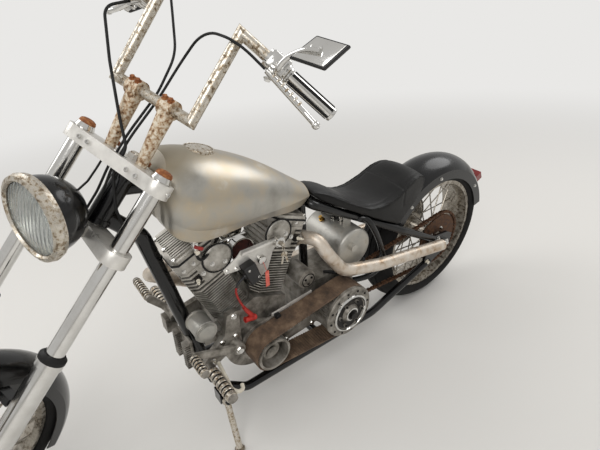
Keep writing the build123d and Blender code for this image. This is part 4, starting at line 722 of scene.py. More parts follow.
class CHOPPER_OT_finishes(ChopperOperator, bpy.types.Operator):
    """Give every carried-over solid the finish of the real one"""

    bl_idname = "chopper.finishes"
    bl_label = "Finishes"

    FINISH_OF = {
        "gloss_enamel": ("frame_spine", "frame_cradle", "frame_upper_rails", "axle_plates", "rear_fender",
                         "front_fender", "headlamp_shell"),
        "ground_steel": ("fuel_cap",),
        "tank_steel": ("fuel_tank",),
        "bare_aluminium": ("oil_tank", "oil_filter"),
        "cast_aluminium": ("crankcase", "transmission", "motor_plate", "clutch_drum", "crank_pulley",
                           "foot_control_left", "foot_control_right", "rear_caliper", "front_caliper",
                           "voltage_regulator", "starter_motor"),
        "polished_aluminium": ("top_clamp", "bottom_clamp"),
        "bright_aluminium": ("cylinders", "cylinder_heads", "rocker_boxes"),
        "chrome": ("fork_tubes", "fork_lowers", "front_axle", "rear_axle", "pushrod_tubes", "air_cleaner",
                   "mirrors", "clutch_lever", "brake_lever"),
        # The wheels' dark tones: road dirt, and painted shade inside the wheels
        "dirty_chrome_painted_shade": ("front_wheel", "rear_wheel"),
        "pitted_chrome": ("headlamp_ring", "handlebar", "side_stand", "grips"),
        "rusted_steel": ("risers",),
        "exhaust_chrome": ("exhaust_left", "exhaust_right"),
        "chain_steel": ("drive_chain", "rear_sprocket", "front_sprocket"),
        "disc_steel": ("rear_disc", "front_disc"),
        "tyre_rubber": ("front_tyre", "rear_tyre"),
        "dusty_belt": ("primary_belt",),
        "leather": ("seat",),
        "moulded_rubber": ("control_cables",),
        "lead_rubber": ("plug_lead",),
        "red_rubber": ("plug_boot",),
        "black_plastic": ("ignition_coil",),
        "red_lens": ("tail_lamp",),
        "lamp_glass": ("headlamp_lens",),
    }

    BROKEN_EDGES = ("top_clamp", "bottom_clamp", "motor_plate", "foot_control_left", "foot_control_right",
                    "front_caliper", "rear_caliper", "axle_plates", "crankcase", "transmission", "tail_lamp")

    def build(self, scene):
        build_materials()
        for finish, nodes in self.FINISH_OF.items():
            for node in nodes:
                mesh = frame["nodes"][node].data
                mesh.materials.clear()
                mesh.materials.append(MATERIALS[finish])
        # Flat bar and castings have broken edges that catch the light
        for node in self.BROKEN_EDGES:
            solid = frame["nodes"][node]
            solid.modifiers.new("weld", "WELD").merge_threshold = 0.00002
            edge = solid.modifiers.new("broken_edges", "BEVEL")
            for key, value in {"affect": "EDGES", "width": 0.0014, "segments": 2, "profile": 0.5, "material": -1,
                               "limit_method": "ANGLE", "angle_limit": radians(40)}.items():
                setattr(edge, key, value)


def tyre_profile(half, crown, radius, bead, rim_half, grooves, width, depth):
    """Half-round tread with grooves, bulging walls and the beads, as (x, radius)."""
    def tread(x):
        return radius - crown + sqrt(max(crown * crown - x * x, 0.0))

    wall = [(-rim_half, bead + 8), (-rim_half - (half - rim_half) * 0.55, bead + 9.5),
            (-half + 1.2, bead + (tread(half) - bead) * 0.55), (-half, tread(half) - 1)]
    points = []
    for x in (-half + 2 + i * (2 * half - 4) / 18 for i in range(19)):
        if all(abs(x - g) > width for g in grooves):
            points.append((x, tread(x)))
    for g in grooves:
        edge = width / 2
        points += [(g - edge, tread(g - edge)), (g - edge * 0.7, tread(g) - depth),
                   (g + edge * 0.7, tread(g) - depth), (g + edge, tread(g + edge))]
    return wall + sorted(points) + [(-x, r) for x, r in reversed(wall)]


class CHOPPER_OT_tyres(ChopperOperator, bpy.types.Operator):
    """Lathe the two tyres with their grooves"""

    bl_idname = "chopper.tyres"
    bl_label = "Tyres"

    def build(self, scene):
        sizes = scene.chopper_sizes
        # Columns: wheel, place, half width, crown, radius, bead, rim half width, grooves
        for which, place, half, crown, radius, bead, rim_half, grooves in (
                ("rear", REAR_WHEEL, 75, 80, REAR_RADIUS, 238, 58, (-34, -12, 12, 34)),
                ("front", FRONT_WHEEL, 44, 46, FRONT_RADIUS, 276, 24, (-12, 12))):
            profile = tyre_profile(half, crown, radius, bead, rim_half, grooves, sizes.groove_width,
                                   sizes.groove_depth)
            shape = lathe(bmesh.new(), profile + [(rim_half, bead), (-rim_half, bead)], 144, ring=True)
            add_piece(f"{which}_tyre_tread", shape, "tyre_rubber", f"{which}_wheel", place,
                      replaces=(f"{which}_tyre",))


class CHOPPER_OT_headlamp(ChopperOperator, bpy.types.Operator):
    """Put the reflector and the bulb behind the glass"""

    bl_idname = "chopper.headlamp"
    bl_label = "Headlamp"

    def build(self, scene):
        along = turn(-90, "Y")
        # A paraboloid, 76 mm in radius and 60 mm deep
        bowl = [(-62 + 60 * (r / 76) ** 2, r) for r in (14, 24, 36, 48, 60, 70, 76)]
        wall = [(x - 1.5, r + 0.8) for x, r in reversed(bowl)]
        add_piece("lamp_reflector", lathe(bmesh.new(), bowl + wall, 72, along, ring=True), "reflector", "fork", LAMP)
        bulb = ((-62, 0), (-62, 13), (-50, 13), (-46, 8), (-26, 8), (-20, 5), (-18, 0))
        add_piece("lamp_bulb", lathe(bmesh.new(), bulb, 32, along), "cream_plastic", "fork", LAMP, "lamp_glass")


class CHOPPER_OT_bars(ChopperOperator, bpy.types.Operator):
    """Dress the bars with grips, switch rings and switch housings"""

    bl_idname = "chopper.bars"
    bl_label = "Bars"

    def build(self, scene):
        bands = scene.chopper_sizes.grip_bands
        inward = (on_bar(100) - on_bar(0)).normalized()
        end = GRIP_LENGTH
        core = ((0, 0), (0, 12), (1.5, 15.5), (4, 16.5), (8, 16.5), (9, 15.4), (end, 15.4), (end + 3, 17.5),
                (end + 4, 19.5), (end + 8, 19.5), (end + 9, 17), (end + 9, 12.8), (5, 12.8))
        for side, word in zip(SIDES, ("left", "right")):
            bar = aim(on_bar(-3, side), (side * inward.x, inward.y, inward.z))
            add_piece(f"grip_core_{word}", lathe(bmesh.new(), core, 48, bar), "chrome",
                      replaces=("grips",) if side == 1 else (), **ON_FORK)
            shape = bmesh.new()
            for band in range(bands):
                prism(shape, ((-3.4, 14.6), (3.4, 14.6), (3.0, 18), (-3.0, 18)), 9, end - 2,
                      bar @ turn(360 * band / bands), bevel=0.8)
            add_piece(f"grip_bands_{word}", shape, "moulded_rubber", **ON_FORK)
            shape = bmesh.new()
            # Columns: inner side, outer side, radius
            for low, high, radius in ((136, 142, 22.4), (158, 164, 22.4), (176, 181, 21.8)):
                lathe(shape, ((low, 13), (low, radius - 1), (low + 1, radius), (high - 1, radius), (high, radius - 1),
                              (high, 13)), 48, bar, ring=True)
            add_piece(f"switch_rings_{word}", shape, "chrome", **ON_FORK)
            shape = bmesh.new()
            prism(shape, ((-23, -20), (22, -20), (24, 0), (22, 23), (-23, 23)), 140, 156, bar, bevel=4, steps=3)
            prism(shape, ((-21, -19), (20, -19), (22, 0), (20, 21), (-21, 21)), 156.6, 186, bar, bevel=5, steps=3)
            for y in (-12, 12):
                cap_screw(shape, bar @ Vector((171, y, 20.6)), bar.to_3x3() @ Vector((0, 0, 1)), 3.4, 3)
            add_piece(f"switch_housing_{word}", shape, "chrome", **ON_FORK)


class CHOPPER_OT_primary(ChopperOperator, bpy.types.Operator):
    """Make the toothed belt, the drum's ring, ribs and screws, and the plates' trim"""

    bl_idname = "chopper.primary"
    bl_label = "Primary drive"

    def build(self, scene):
        self.build_belt()
        self.build_clutch(scene.chopper_sizes.drum_ribs)

        # Bright edge on the motor plate, cap of the starter, fins of the regulator
        shape = prism(bmesh.new(), ((-852, 376), (-690, 391), (-690, 403), (-852, 388)), 101, PLATE_X, bevel=1.5)
        add_piece("plate_edge", shape, "polished_aluminium")
        cap = ((111, 0), (111, 21), (112.6, 22), (113.4, 24.5), (112.6, 26), (111, 26.4), (111, 27))
        shape = lathe(bmesh.new(), cap, 48, at(0, STARTER_Y, STARTER_Z))
        side_bolts(shape, 112.5, on_circle(14, 3, 30, STARTER_Y, STARTER_Z), 3.4, 2.4, 0.8)
        add_piece("starter_cap", shape, "oily_steel")
        shape = prism(bmesh.new(), ((-1110, 270), (-1100, 270), (-1100, 374), (-1110, 374)), -44, 44, bevel=2)
        for z in (272 + fin * 8.5 for fin in range(12)):
            for low, high in ((-46, -21), (21, 46)):
                prism(shape, ((-1128, z), (-1108, z), (-1108, z + 3), (-1128, z + 3)), low, high)
        add_piece("regulator_fins", shape, "cast_aluminium", replaces=("voltage_regulator",))

        # Nut of the crank, bolts and clip of the motor plate
        shape = bmesh.new()
        side_bolts(shape, BELT_INNER + 41, [(0, 0)], 15, 12, 3)
        add_piece("crank_nut", shape, "oily_steel", place=BIKE @ at(0, CRANK_Y, CRANK_Z))
        shape = bmesh.new()
        side_bolts(shape, PLATE_X, ((-840, 372), (-660, 364), (-800, 246), (-690, 256)), 6.5, 5, 1.4)
        add_piece("motor_plate_bolts", shape, "chrome")
        shape = prism(bmesh.new(), ((-846, 366), (-828, 366), (-828, 386), (-846, 386)), 104, 124, bevel=2.0)
        add_piece("plate_clip", shape, "black_plastic")

    def build_belt(self):
        """The belt's band, with four stations to each tooth inside and notch outside."""
        shape = bmesh.new()
        rows = []
        stations = loop_stations((CRANK_Y, CRANK_Z), PULLEY_RADIUS + BELT_GAP, (CLUTCH_Y, CLUTCH_Z),
                                 DRUM_RADIUS + BELT_GAP, 4 * BELT_TEETH)
        for index, (spot, normal) in enumerate(stations):
            inner = spot + normal * (0.1 + (BELT_TOOTH if index % 4 in (1, 2) else 0.0))
            outer = spot + normal * (BELT_THICK - (0.5 if index % 4 == 0 else 0.0))
            rows.append([shape.verts.new((x, *point)) for x, point in (
                (BELT_INNER, inner), (BELT_OUTER, inner), (BELT_OUTER, outer), (BELT_INNER, outer))])
        for row, following in zip(rows, rows[1:] + rows[:1]):
            for a, b in ((0, 1), (1, 2), (2, 3), (3, 0)):
                shape.faces.new((row[a], row[b], following[b], following[a]))
        add_piece("toothed_belt", shape, "dusty_belt", replaces=("primary_belt",))

    def build_clutch(self, ribs):
        """The drum's bright ring and cap, its dark plate with the screws, and its ribs and teeth."""
        clutch = BIKE @ at(0, CLUTCH_Y, CLUTCH_Z)
        face = DRUM_FACE
        trim = ((face, 63), (face + 5, 64), (face + 9, 66), (face + 9.5, 69), (face + 7, 72), (face + 1, 73.5),
                (face - 1, 73.5), (face - 1, 63))
        shape = lathe(bmesh.new(), trim, 96, ring=True)
        lathe(shape, ((face + 10, 0), (face + 10, 26), (face + 13, 25.5), (face + 14, 23), (face + 14, 0)), 48)
        add_piece("clutch_trim_ring", shape, "chrome", place=clutch)
        plate = ((face + 0.6, 34.5), (face + 2, 35), (face + 2, 61), (face + 0.6, 61.8))
        shape = lathe(bmesh.new(), plate, 72, ring=True)
        side_bolts(shape, face + 13.6, [(0, 0)], 15, 9, 2)
        for y, z in on_circle(48, 6):
            cap_screw(shape, (face + 9, y, z), (1, 0, 0), 4.6, 4)
        side_bolts(shape, face, on_circle(84, 12, 8), 3.4, 2.4, 0.6)
        add_piece("clutch_hardware", shape, "oily_steel", place=clutch)
        shape = bmesh.new()
        edge = DRUM_RADIUS + 6
        for low in (BELT_OUTER + 0.5 + number * RIB_PITCH for number in range(ribs)):
            lathe(shape, ((low, 90), (low, edge), (low + 1.6, edge), (low + 1.6, 90)), 96, ring=True)
        root, tip = DRUM_RADIUS - 1, DRUM_RADIUS + 2
        for tooth in range(DRUM_TEETH):
            prism(shape, ((-2.2, root), (2.2, root), (1.5, tip), (-1.5, tip)), BELT_INNER + 2, BELT_OUTER,
                  turn(360 * tooth / DRUM_TEETH))
        add_piece("clutch_ribs", shape, "cast_aluminium", place=clutch)


def cylinder_frame(tilt):
    """The frame of one cylinder in the bike's millimetres, with Z along its bore."""
    return at(0, CRANK_Y, CRANK_Z) @ turn(tilt)


class CHOPPER_OT_engine(ChopperOperator, bpy.types.Operator):
    """Fasten the rocker boxes and heads, add the plugs, seals and bosses, and trim the cup and the oil filter"""

    bl_idname = "chopper.engine"
    bl_label = "Engine trim"

    def build(self, scene):
        screws, bosses, seals, plugs, insulators = (bmesh.new() for _ in range(5))
        boss = ((FACE_X - 6, 0), (FACE_X - 6, 43), (FACE_X + 3, 42.5), (FACE_X + 7, 39), (FACE_X + 8.5, 33),
                (FACE_X + 9, 0))
        seal = [(FACE_X + 2.4 + x, r) for x, r in on_circle(2.4, 8, z=45)]
        insulator = ((8, 0), (8, 5.6), (12, 5.6), (13, 4.6), (24, 4.2), (25, 2.2), (31, 2.2), (31, 0))
        # Columns: tilt, sign of the outer side, top of the cover
        for tilt, outer, top in ((VEE_HALF, -1, COVER_TOP[0]), (-VEE_HALF, 1, COVER_TOP[1])):
            stand = cylinder_frame(tilt)
            part = bmesh.new()
            for x in (-62, 0, 62):
                for y in (-52, 52):
                    cap_screw(part, (x, y, top - 4.5), (0, 0, 1), 5, 5)
            for y in (-50, -18, 18, 50):
                side_bolts(part, -74, [(y, 402)], 4.2, 3.5, 1)
                side_bolts(part, 74, [(y, 402)], 4.2, 3.5, 1)
            # Head bolts on the left face, as the photograph has them
            for y, s in ((20, 369), (53, 347), (-13, 355)):
                side_bolts(part, FACE_X + (9 if y > 0 else 0), [(-outer * y, s)], 5.2, 4.5, 1.2)
            merge(screws, part, stand)
            middle = stand @ at(0, -outer * BOSS_Y, BOSS_S)
            lathe(bosses, boss, 64, middle)
            lathe(seals, seal, 64, middle, ring=True)
            root, lean = (FACE_X - 1, outer * 34, 350), (1, outer * 0.25, 0.3)
            part = bmesh.new()
            hex_bolt(part, root, lean, 9, 7, 2)
            merge(plugs, part, stand)
            lathe(insulators, insulator, 24, stand @ aim(root, lean))
        add_piece("head_screws", screws, "chrome")
        add_piece("head_bosses", bosses, "bright_aluminium")
        add_piece("head_seals", seals, "moulded_rubber")
        add_piece("plug_nuts", plugs, "oily_steel")
        add_piece("plug_insulators", insulators, "cream_plastic")

        shape = bmesh.new()
        for tilt, base in zip((VEE_HALF, -VEE_HALF), GASKET_S):
            prism(shape, GASKET, 0, 7, cylinder_frame(tilt) @ at(0, 0, base + 1) @ turn(-90, "Y"), bevel=1.2)
        add_piece("rocker_gaskets", shape, "moulded_rubber")

        # Chrome cup with its rusty red lining, between the rocker boxes
        cup = ((38, 0), (38, 24), (46, 33), (70, 37), (74, 38.5), (76, 37.5), (75, 35), (50, 31), (44, 22), (43, 0))
        add_piece("vee_cup", lathe(bmesh.new(), cup, 64, at(*CUP)), "chrome")
        lining = ((43.5, 0), (44.5, 21.5), (50.5, 30), (54, 31), (53, 26), (49, 18), (48, 0))
        add_piece("vee_cup_lining", lathe(bmesh.new(), lining, 64, at(*CUP)), "red_rust")

        # Pressed face and rolled beads of the oil filter
        face = ((103.5, 0), (103.5, 26), (105, 27), (106, 25), (105.4, 10), (105.4, 0))
        add_piece("filter_face", lathe(bmesh.new(), face, 48, at(*OIL_FILTER)), "bare_aluminium")
        shape = bmesh.new()
        for low in (32, 92):
            lathe(shape, ((low, 32), (low, 34.5), (low + 2, 35.5), (low + 4, 34.5), (low + 4, 32)), 64,
                  at(*OIL_FILTER), ring=True)
        add_piece("filter_beads", shape, "bare_aluminium")


class CHOPPER_OT_ignition(ChopperOperator, bpy.types.Operator):
    """Make the coil on its plate, the switch with its keys and tag, and the hanging plug lead"""

    bl_idname = "chopper.ignition"
    bl_label = "Ignition"

    def build(self, scene):
        # The plate with its bent lip and its two spacers
        outline = ((-990, 612), (-985, 594), (-935, 590), (-880, 524), (-842, 550), (-822, 608), (-792, 636),
                   (-796, 652), (-930, 652), (-945, 636))
        shape = prism(bmesh.new(), outline, COIL_X - 4, COIL_X, bevel=1.2)
        prism(shape, ((-934, 642), (-796, 642), (-796, 652), (-930, 652)), COIL_X, COIL_X + 12, bevel=2.0)
        for y, z in ((-978, 604), (-808, 628)):
            lathe(shape, ((-7, 0), (-7, 7), (-4, 7), (-4, 0)), 24, at(COIL_X, y, z))
        add_piece("coil_plate", shape, "polished_aluminium", replaces=("ignition_coil",))
        # The coil's body and the tower that the lead leaves
        shape = prism(bmesh.new(), ((-942, 608), (-902, 618), (-882, 552), (-918, 540)), COIL_X, COIL_X + 32,
                      bevel=4.0, steps=3)
        lathe(shape, ((-4, 0), (-4, 8), (5, 7.5), (6, 6), (6, 0)), 24, aim((LEAD_X, -930, 574), (0, -0.943, -0.333)))
        add_piece("coil_box", shape, "black_plastic")
        # The switch's barrel, the button and the screws
        barrel = ((0, 0), (0, 15), (16, 15), (17, 16.5), (21, 16.5), (23, 14), (23, 8), (20, 7), (20, 0))
        shape = lathe(bmesh.new(), barrel, 48, at(COIL_X, -806, 642))
        lathe(shape, ((0, 0), (0, 14), (9, 14), (12, 12.5), (14, 8), (14, 0)), 40, at(COIL_X, -866, 598))
        side_bolts(shape, COIL_X, ((-978, 604), (-808, 620), (-950, 600)), 5, 4, 1.2)
        for y, z in ((-925, 600), (-895, 566)):
            cap_screw(shape, (COIL_X + 31.5, y, z), (1, 0, 0), 4, 3)
        add_piece("ignition_switch", shape, "chrome")
        self.build_keys()
        self.build_lead()

    def build_keys(self):
        """Two keys on the ring under the switch, and the paper tag."""
        shape = lathe(bmesh.new(), on_circle(1.1, 6, z=13), 32, at(COIL_X + 30, -804, 622) @ turn(70, "Z"), ring=True)
        blade = ((-3.5, -17), (3.5, -17), (3.5, -30), (2, -33), (3.5, -36), (2, -40), (0, -44), (-3.5, -42))
        for angle, reach in ((-12, 0), (16, 2)):
            key = at(COIL_X + 28 + reach, -802, 612) @ turn(angle)
            prism(shape, on_circle(9, 12, z=-9), 0, 2.2, key, bevel=0.5)
            prism(shape, blade, 0.2, 2.0, key)
        prism(shape, ((-5, 0), (5, 0), (5, 8), (-5, 8)), COIL_X + 20, COIL_X + 34, at(0, -806, 636), bevel=1.0)
        add_piece("keys", shape, "pitted_chrome")
        shape = prism(bmesh.new(), ((-6, 0), (7, 1), (8, -56), (-6, -58)), 0, 0.8, at(COIL_X + 25, -863, 566),
                      bevel=0.3)
        bend_bar(shape, ((COIL_X + 12, -866, 596), (COIL_X + 20, -866, 584), (COIL_X + 25.4, -863, 565)), 0.9, 6)
        add_piece("key_tag", shape, "pink_tag")

    def build_lead(self):
        """The lead that hangs from the coil, with its boot on its free end."""
        lead = wire("plug_lead_cord", PLUG_LEAD, 3.5, "lead_rubber")
        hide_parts("plug_lead")
        collar = ((-6, 3.6), (-6, 5), (-2, 6.8), (3, 6.8), (3.6, 6), (5, 6), (5.6, 6.8), (14, 7.4), (14, 3.6))
        shape = lathe(bmesh.new(), collar, 32, aim((LEAD_X, -923.9, 422.7), (0, 6.9, -12.7)), ring=True)
        bend_bar(shape, ((LEAD_X, -945.5, 462.5), (LEAD_X, -934, 441), (LEAD_X, -921, 418)), 5.2, 20, taper=8.2)
        mouth = ((0, 0), (0, 7), (3, 9.4), (12, 9.6), (30, 8.6), (36, 9.4), (40.5, 9.4), (40.5, 5.4), (24, 4.6),
                 (24, 0))
        lathe(shape, mouth, 40, aim((LEAD_X, -906, 405), (0, -40, 7)))
        boot = add_piece("plug_boot_red", shape, "red_rubber", replaces=("plug_boot",))


class CHOPPER_OT_chain(ChopperOperator, bpy.types.Operator):
    """Link the drive chain from plates, rollers and pins"""

    bl_idname = "chopper.chain"
    bl_label = "Drive chain"

    def build(self, scene):
        front_radius = CHAIN_PITCH / (2 * sin(pi / FRONT_TEETH))
        rear_radius = CHAIN_PITCH / (2 * sin(pi / REAR_TEETH))
        reach = sqrt(CLUTCH_Y ** 2 + (CLUTCH_Z - REAR_RADIUS) ** 2)
        tilt = asin((rear_radius - front_radius) / reach)
        total = 2 * reach * cos(tilt) + (pi + 2 * tilt) * rear_radius + (pi - 2 * tilt) * front_radius
        count = 2 * round(total / CHAIN_PITCH / 2)
        stations = loop_stations((CLUTCH_Y, CLUTCH_Z), front_radius, (0, REAR_RADIUS), rear_radius, count)
        shape = bmesh.new()
        # A link plate: two round ends and a narrow waist
        plate = []
        for sign, angles in ((-1, (110, 150, 180, 210, 250)), (1, (-70, -30, 0, 30, 70))):
            plate += [(sign * 7.9 + LINK_END * cos(a), LINK_END * sin(a)) for a in map(radians, angles)]
            plate.append((0, sign * LINK_WAIST))
        for index, ((here, _), (there, _)) in enumerate(zip(stations, stations[1:] + stations[:1])):
            middle = (here + there) / 2
            run = (there - here).normalized()
            place = Matrix(((1, 0, 0, CHAIN_X), (0, run.x, -run.y, middle.x), (0, run.y, run.x, middle.y),
                            (0, 0, 0, 1)))
            low = 3.2 if index % 2 else 5.3
            for sign in SIDES:
                prism(shape, plate, sign * low, sign * (low + PLATE_THICK), place)
            pin = at(CHAIN_X, *here) @ turn(90, "Y")
            # The roller and the pin through it
            for capped, segments, radius, depth in ((False, 10, 4.9, 6.4), (True, 8, 2.5, 16.2)):
                bmesh.ops.create_cone(shape, cap_ends=capped, segments=segments, radius1=radius, radius2=radius,
                                      depth=depth, matrix=pin)
        add_piece("roller_chain", shape, "chain_steel", closed=False, replaces=("drive_chain",))
        shape = bmesh.new()
        side_bolts(shape, 92, on_circle(46, 5), 6, 4, 1.2)
        add_piece("sprocket_bolts", shape, "chrome", "rear_wheel", REAR_WHEEL)


class CHOPPER_OT_seat(ChopperOperator, bpy.types.Operator):
    """Upholster the seat with a crowned leather cover, its seams and its piping"""

    bl_idname = "chopper.seat"
    bl_label = "Seat"

    # Along the bike: top, underside and half width of the foam
    TOP = ((-642, 734), (-600, 726), (-520, 674), (-430, 632), (-360, 626), (-300, 640), (-240, 668), (-185, HUMP_Z),
           (-150, HUMP_Z - 8), (-126, HUMP_Z - 32))
    UNDER = ((-642, 716), (-614, 693), (-280, HUMP_Z - 175), (-126, HUMP_Z - 78))
    HALF = ((-645, 44), (-600, 62), (-520, 86), (-440, 102), (-360, 108), (-280, 108), (-190, 96), (-110, 76))
    # How far the crown's edge falls at most, the cross seam's place, and how deep the seams pull
    CROWN_FALL = 11.0
    SEAM_Y = -268
    CROSS_SEAM, EDGE_SEAM = 3.0, 2.6

    def section(self, y):
        """The foam's top, thickness and half width here, and how far its edge falls below the crown."""
        top = between(self.TOP, y)
        thick = top - between(self.UNDER, y)
        return top, thick, between(self.HALF, y), min(0.25 * thick, self.CROWN_FALL)

    def build(self, scene):
        foam = bpy.data.objects.new("foam", frame["nodes"]["seat"].data.copy())
        scene.collection.objects.link(foam)
        foam.modifiers.new("weld", "WELD").merge_threshold = 0.0001
        grid = foam.modifiers.new("grid", "REMESH")
        grid.mode = "VOXEL"
        grid.voxel_size = 0.005
        soften = foam.modifiers.new("soften", "SMOOTH")
        soften.iterations = 10
        soften.factor = 0.6
        cover = bpy.data.meshes.new_from_object(foam.evaluated_get(bpy.context.evaluated_depsgraph_get()))
        bpy.data.objects.remove(foam)
        shape = bmesh.new()
        shape.from_mesh(cover)
        bpy.data.meshes.remove(cover)
        bmesh.ops.transform(shape, matrix=BIKE.inverted(), verts=shape.verts)
        shape.normal_update()
        for vert in shape.verts:
            x, y, z = vert.co
            top, thick, half, fall = self.section(y)
            out = min(abs(x) / half, 1.0)
            depth = min(max((top - z) / thick, 0.0), 1.0)
            # Seams pull the leather in: one across before the hump, one along each edge
            across = self.CROSS_SEAM * max(0.0, 1 - abs(y - self.SEAM_Y) / 7) ** 2 * (depth < 0.5)
            along = self.EDGE_SEAM * max(0.0, 1 - abs(out - 0.8) * half / 6) ** 2 * (depth < 0.3)
            vert.co = Vector((x, y, z - fall * out ** 2.6 * (1 - depth))) - vert.normal * max(across, along)
        shape.normal_update()
        tree = BVHTree.FromBMesh(shape)
        welts = bmesh.new()
        for side in SIDES:
            line = []
            for y in (-634 + step * 10.5 for step in range(48)):
                top, _, half, fall = self.section(y)
                spot, normal, _, _ = tree.find_nearest(Vector((side * (half + 4), y, top - fall + 2)))
                line.append(spot + normal * 0.8)
            bend_bar(welts, line, 2.4, 8)
        seat = add_piece("seat_cover", shape, "leather", replaces=("seat",), sharp=60)
        add_piece("seat_piping", welts, "leather")


class CHOPPER_OT_fork(ChopperOperator, bpy.types.Operator):
    """Add the fork's caps, seals, screws and bolts, the levers' trim and the mirrors"""

    bl_idname = "chopper.fork"
    bl_label = "Fork trim"

    def build(self, scene):
        caps, seals, screws, rust = (bmesh.new() for _ in range(4))
        for side in SIDES:
            x = side * TUBE_PITCH / 2
            tube = aim((x, -OFFSET, 0), (0, 0, 1))
            # Cap and dust seal of the tube, screws of the clamps, bolts of the axle and of the riser
            lathe(rust, ((9, 0), (9, 19), (17, 19.4), (22, 17), (25, 11), (26, 5), (24, 0)), 48, tube)
            lathe(seals, ((SEAL_S, 20.8), (SEAL_S, 31), (SEAL_S + 7, 31), (SEAL_S + 10, 27), (SEAL_S + 15, 24),
                          (SEAL_S + 15, 20.8)), 64, tube, ring=True)
            for place, way in (((x + side * 32.6, -OFFSET, -16), (side, 0, 0)), ((side * 92, -78.3, -16), (0, -1, 0)),
                               ((side * 64, -78.3, -16), (0, -1, 0))):
                cap_screw(screws, place, way, 5.5, 5)
            hex_bolt(screws, (x, -OFFSET - 27.6, AXLE_S + 26), (0, -1, 0), 6, 5, 1.2)
            for step in (-9, 9):
                hex_bolt(rust, (side * RISER_X + step, -66, 157), (0, -0.75, 0.66), 6, 6, 1.4)
            hex_bolt(rust, (side * RISER_X, -12, 10), (0, 0.6, 0.8), 5, 5, 1.2)
        lathe(caps, ((12, 0), (12, 15), (15, 14), (18, 9), (18.5, 0)), 40, aim((0, 0, 0), (0, 0, 1)))
        add_piece("fork_caps", caps, "pitted_chrome", **ON_FORK)
        add_piece("fork_rust_bolts", rust, "orange_rust", **ON_FORK)
        add_piece("dust_seals", seals, "moulded_rubber", **ON_FORK)
        add_piece("clamp_screws", screws, "chrome", **ON_FORK)
        self.build_levers()
        self.build_mirrors()

    def build_levers(self):
        """A ball on the end of each lever, ribs along it and its pivot bolt."""
        balls, ribs = bmesh.new(), bmesh.new()
        ball = [(-y, z) for y, z in on_circle(9.5, 24)[:13]]
        for side in SIDES:
            bend = on_bar(40, side, (0, -36, -40))
            tip = Vector((side * 340, 32, 277))
            run = (tip - bend).normalized()
            lathe(balls, ball, 24, aim(tip - run * 7, run))
            along = bend - on_bar(156, side, (0, -30, -26))
            for step in range(7):
                spot = on_bar(140 - step * 13, side, (0, -30 - step * 0.7, -26 - step * 1.6))
                lathe(ribs, ((0, 6), (0, 7.8), (1, 8.4), (4, 8.4), (5, 7.8), (5, 6)), 24, aim(spot, along), ring=True)
            hex_bolt(balls, on_bar(150, side, (0, -22, -36)), (0, 0.5, -0.86), 7, 5, 1.4)
        add_piece("lever_balls", balls, "chrome", **ON_FORK)
        add_piece("lever_ribs", ribs, "pitted_chrome", **ON_FORK)

    def build_mirrors(self):
        """The mirrors' rims, backs with their stems, and glasses."""
        rims, backs, glasses = bmesh.new(), bmesh.new(), bmesh.new()
        facing = turn(90, "Z")
        stem = ((191, -18, 345), (212, -36, 328), (236, -60, 324), (246, -73, 340), (260, -81, 357), (288, -95, 373),
                (318, -99, 381))
        for side in SIDES:
            middle = Vector((side * MIRROR_MIDDLE[0], MIRROR_MIDDLE[1]))
            outline = [Vector((side * x, s)) for x, s in MIRROR]
            rim = [(-p.x, p.y) for p in outline]
            glass = [(-p.x, p.y) for p in (middle + (p - middle) * 0.88 for p in outline)]
            prism(rims, rim, MIRROR_Y - 10.4, MIRROR_Y + 0.4, facing, bevel=3.0, steps=3)
            prism(backs, glass, MIRROR_Y - 12.4, MIRROR_Y - 10, facing, bevel=1.0, steps=3)
            prism(glasses, glass, MIRROR_Y + 0.2, MIRROR_Y + 0.9, facing)
            bend_bar(backs, [(side * x, y, z) for x, y, z in stem], 6.8, 16, taper=5.4)
            lathe(backs, ((0, 0), (0, 12), (4, 12), (5, 10), (5, 0)), 32,
                  aim((side * 304, MIRROR_Y - 11.5, 385), (0, -1, 0)))
        add_piece("mirror_rims", rims, "black_plastic", **ON_FORK)
        add_piece("mirror_backs", backs, "chrome", replaces=("mirrors",), **ON_FORK)
        add_piece("mirror_faces", glasses, "mirror_glass", **ON_FORK)


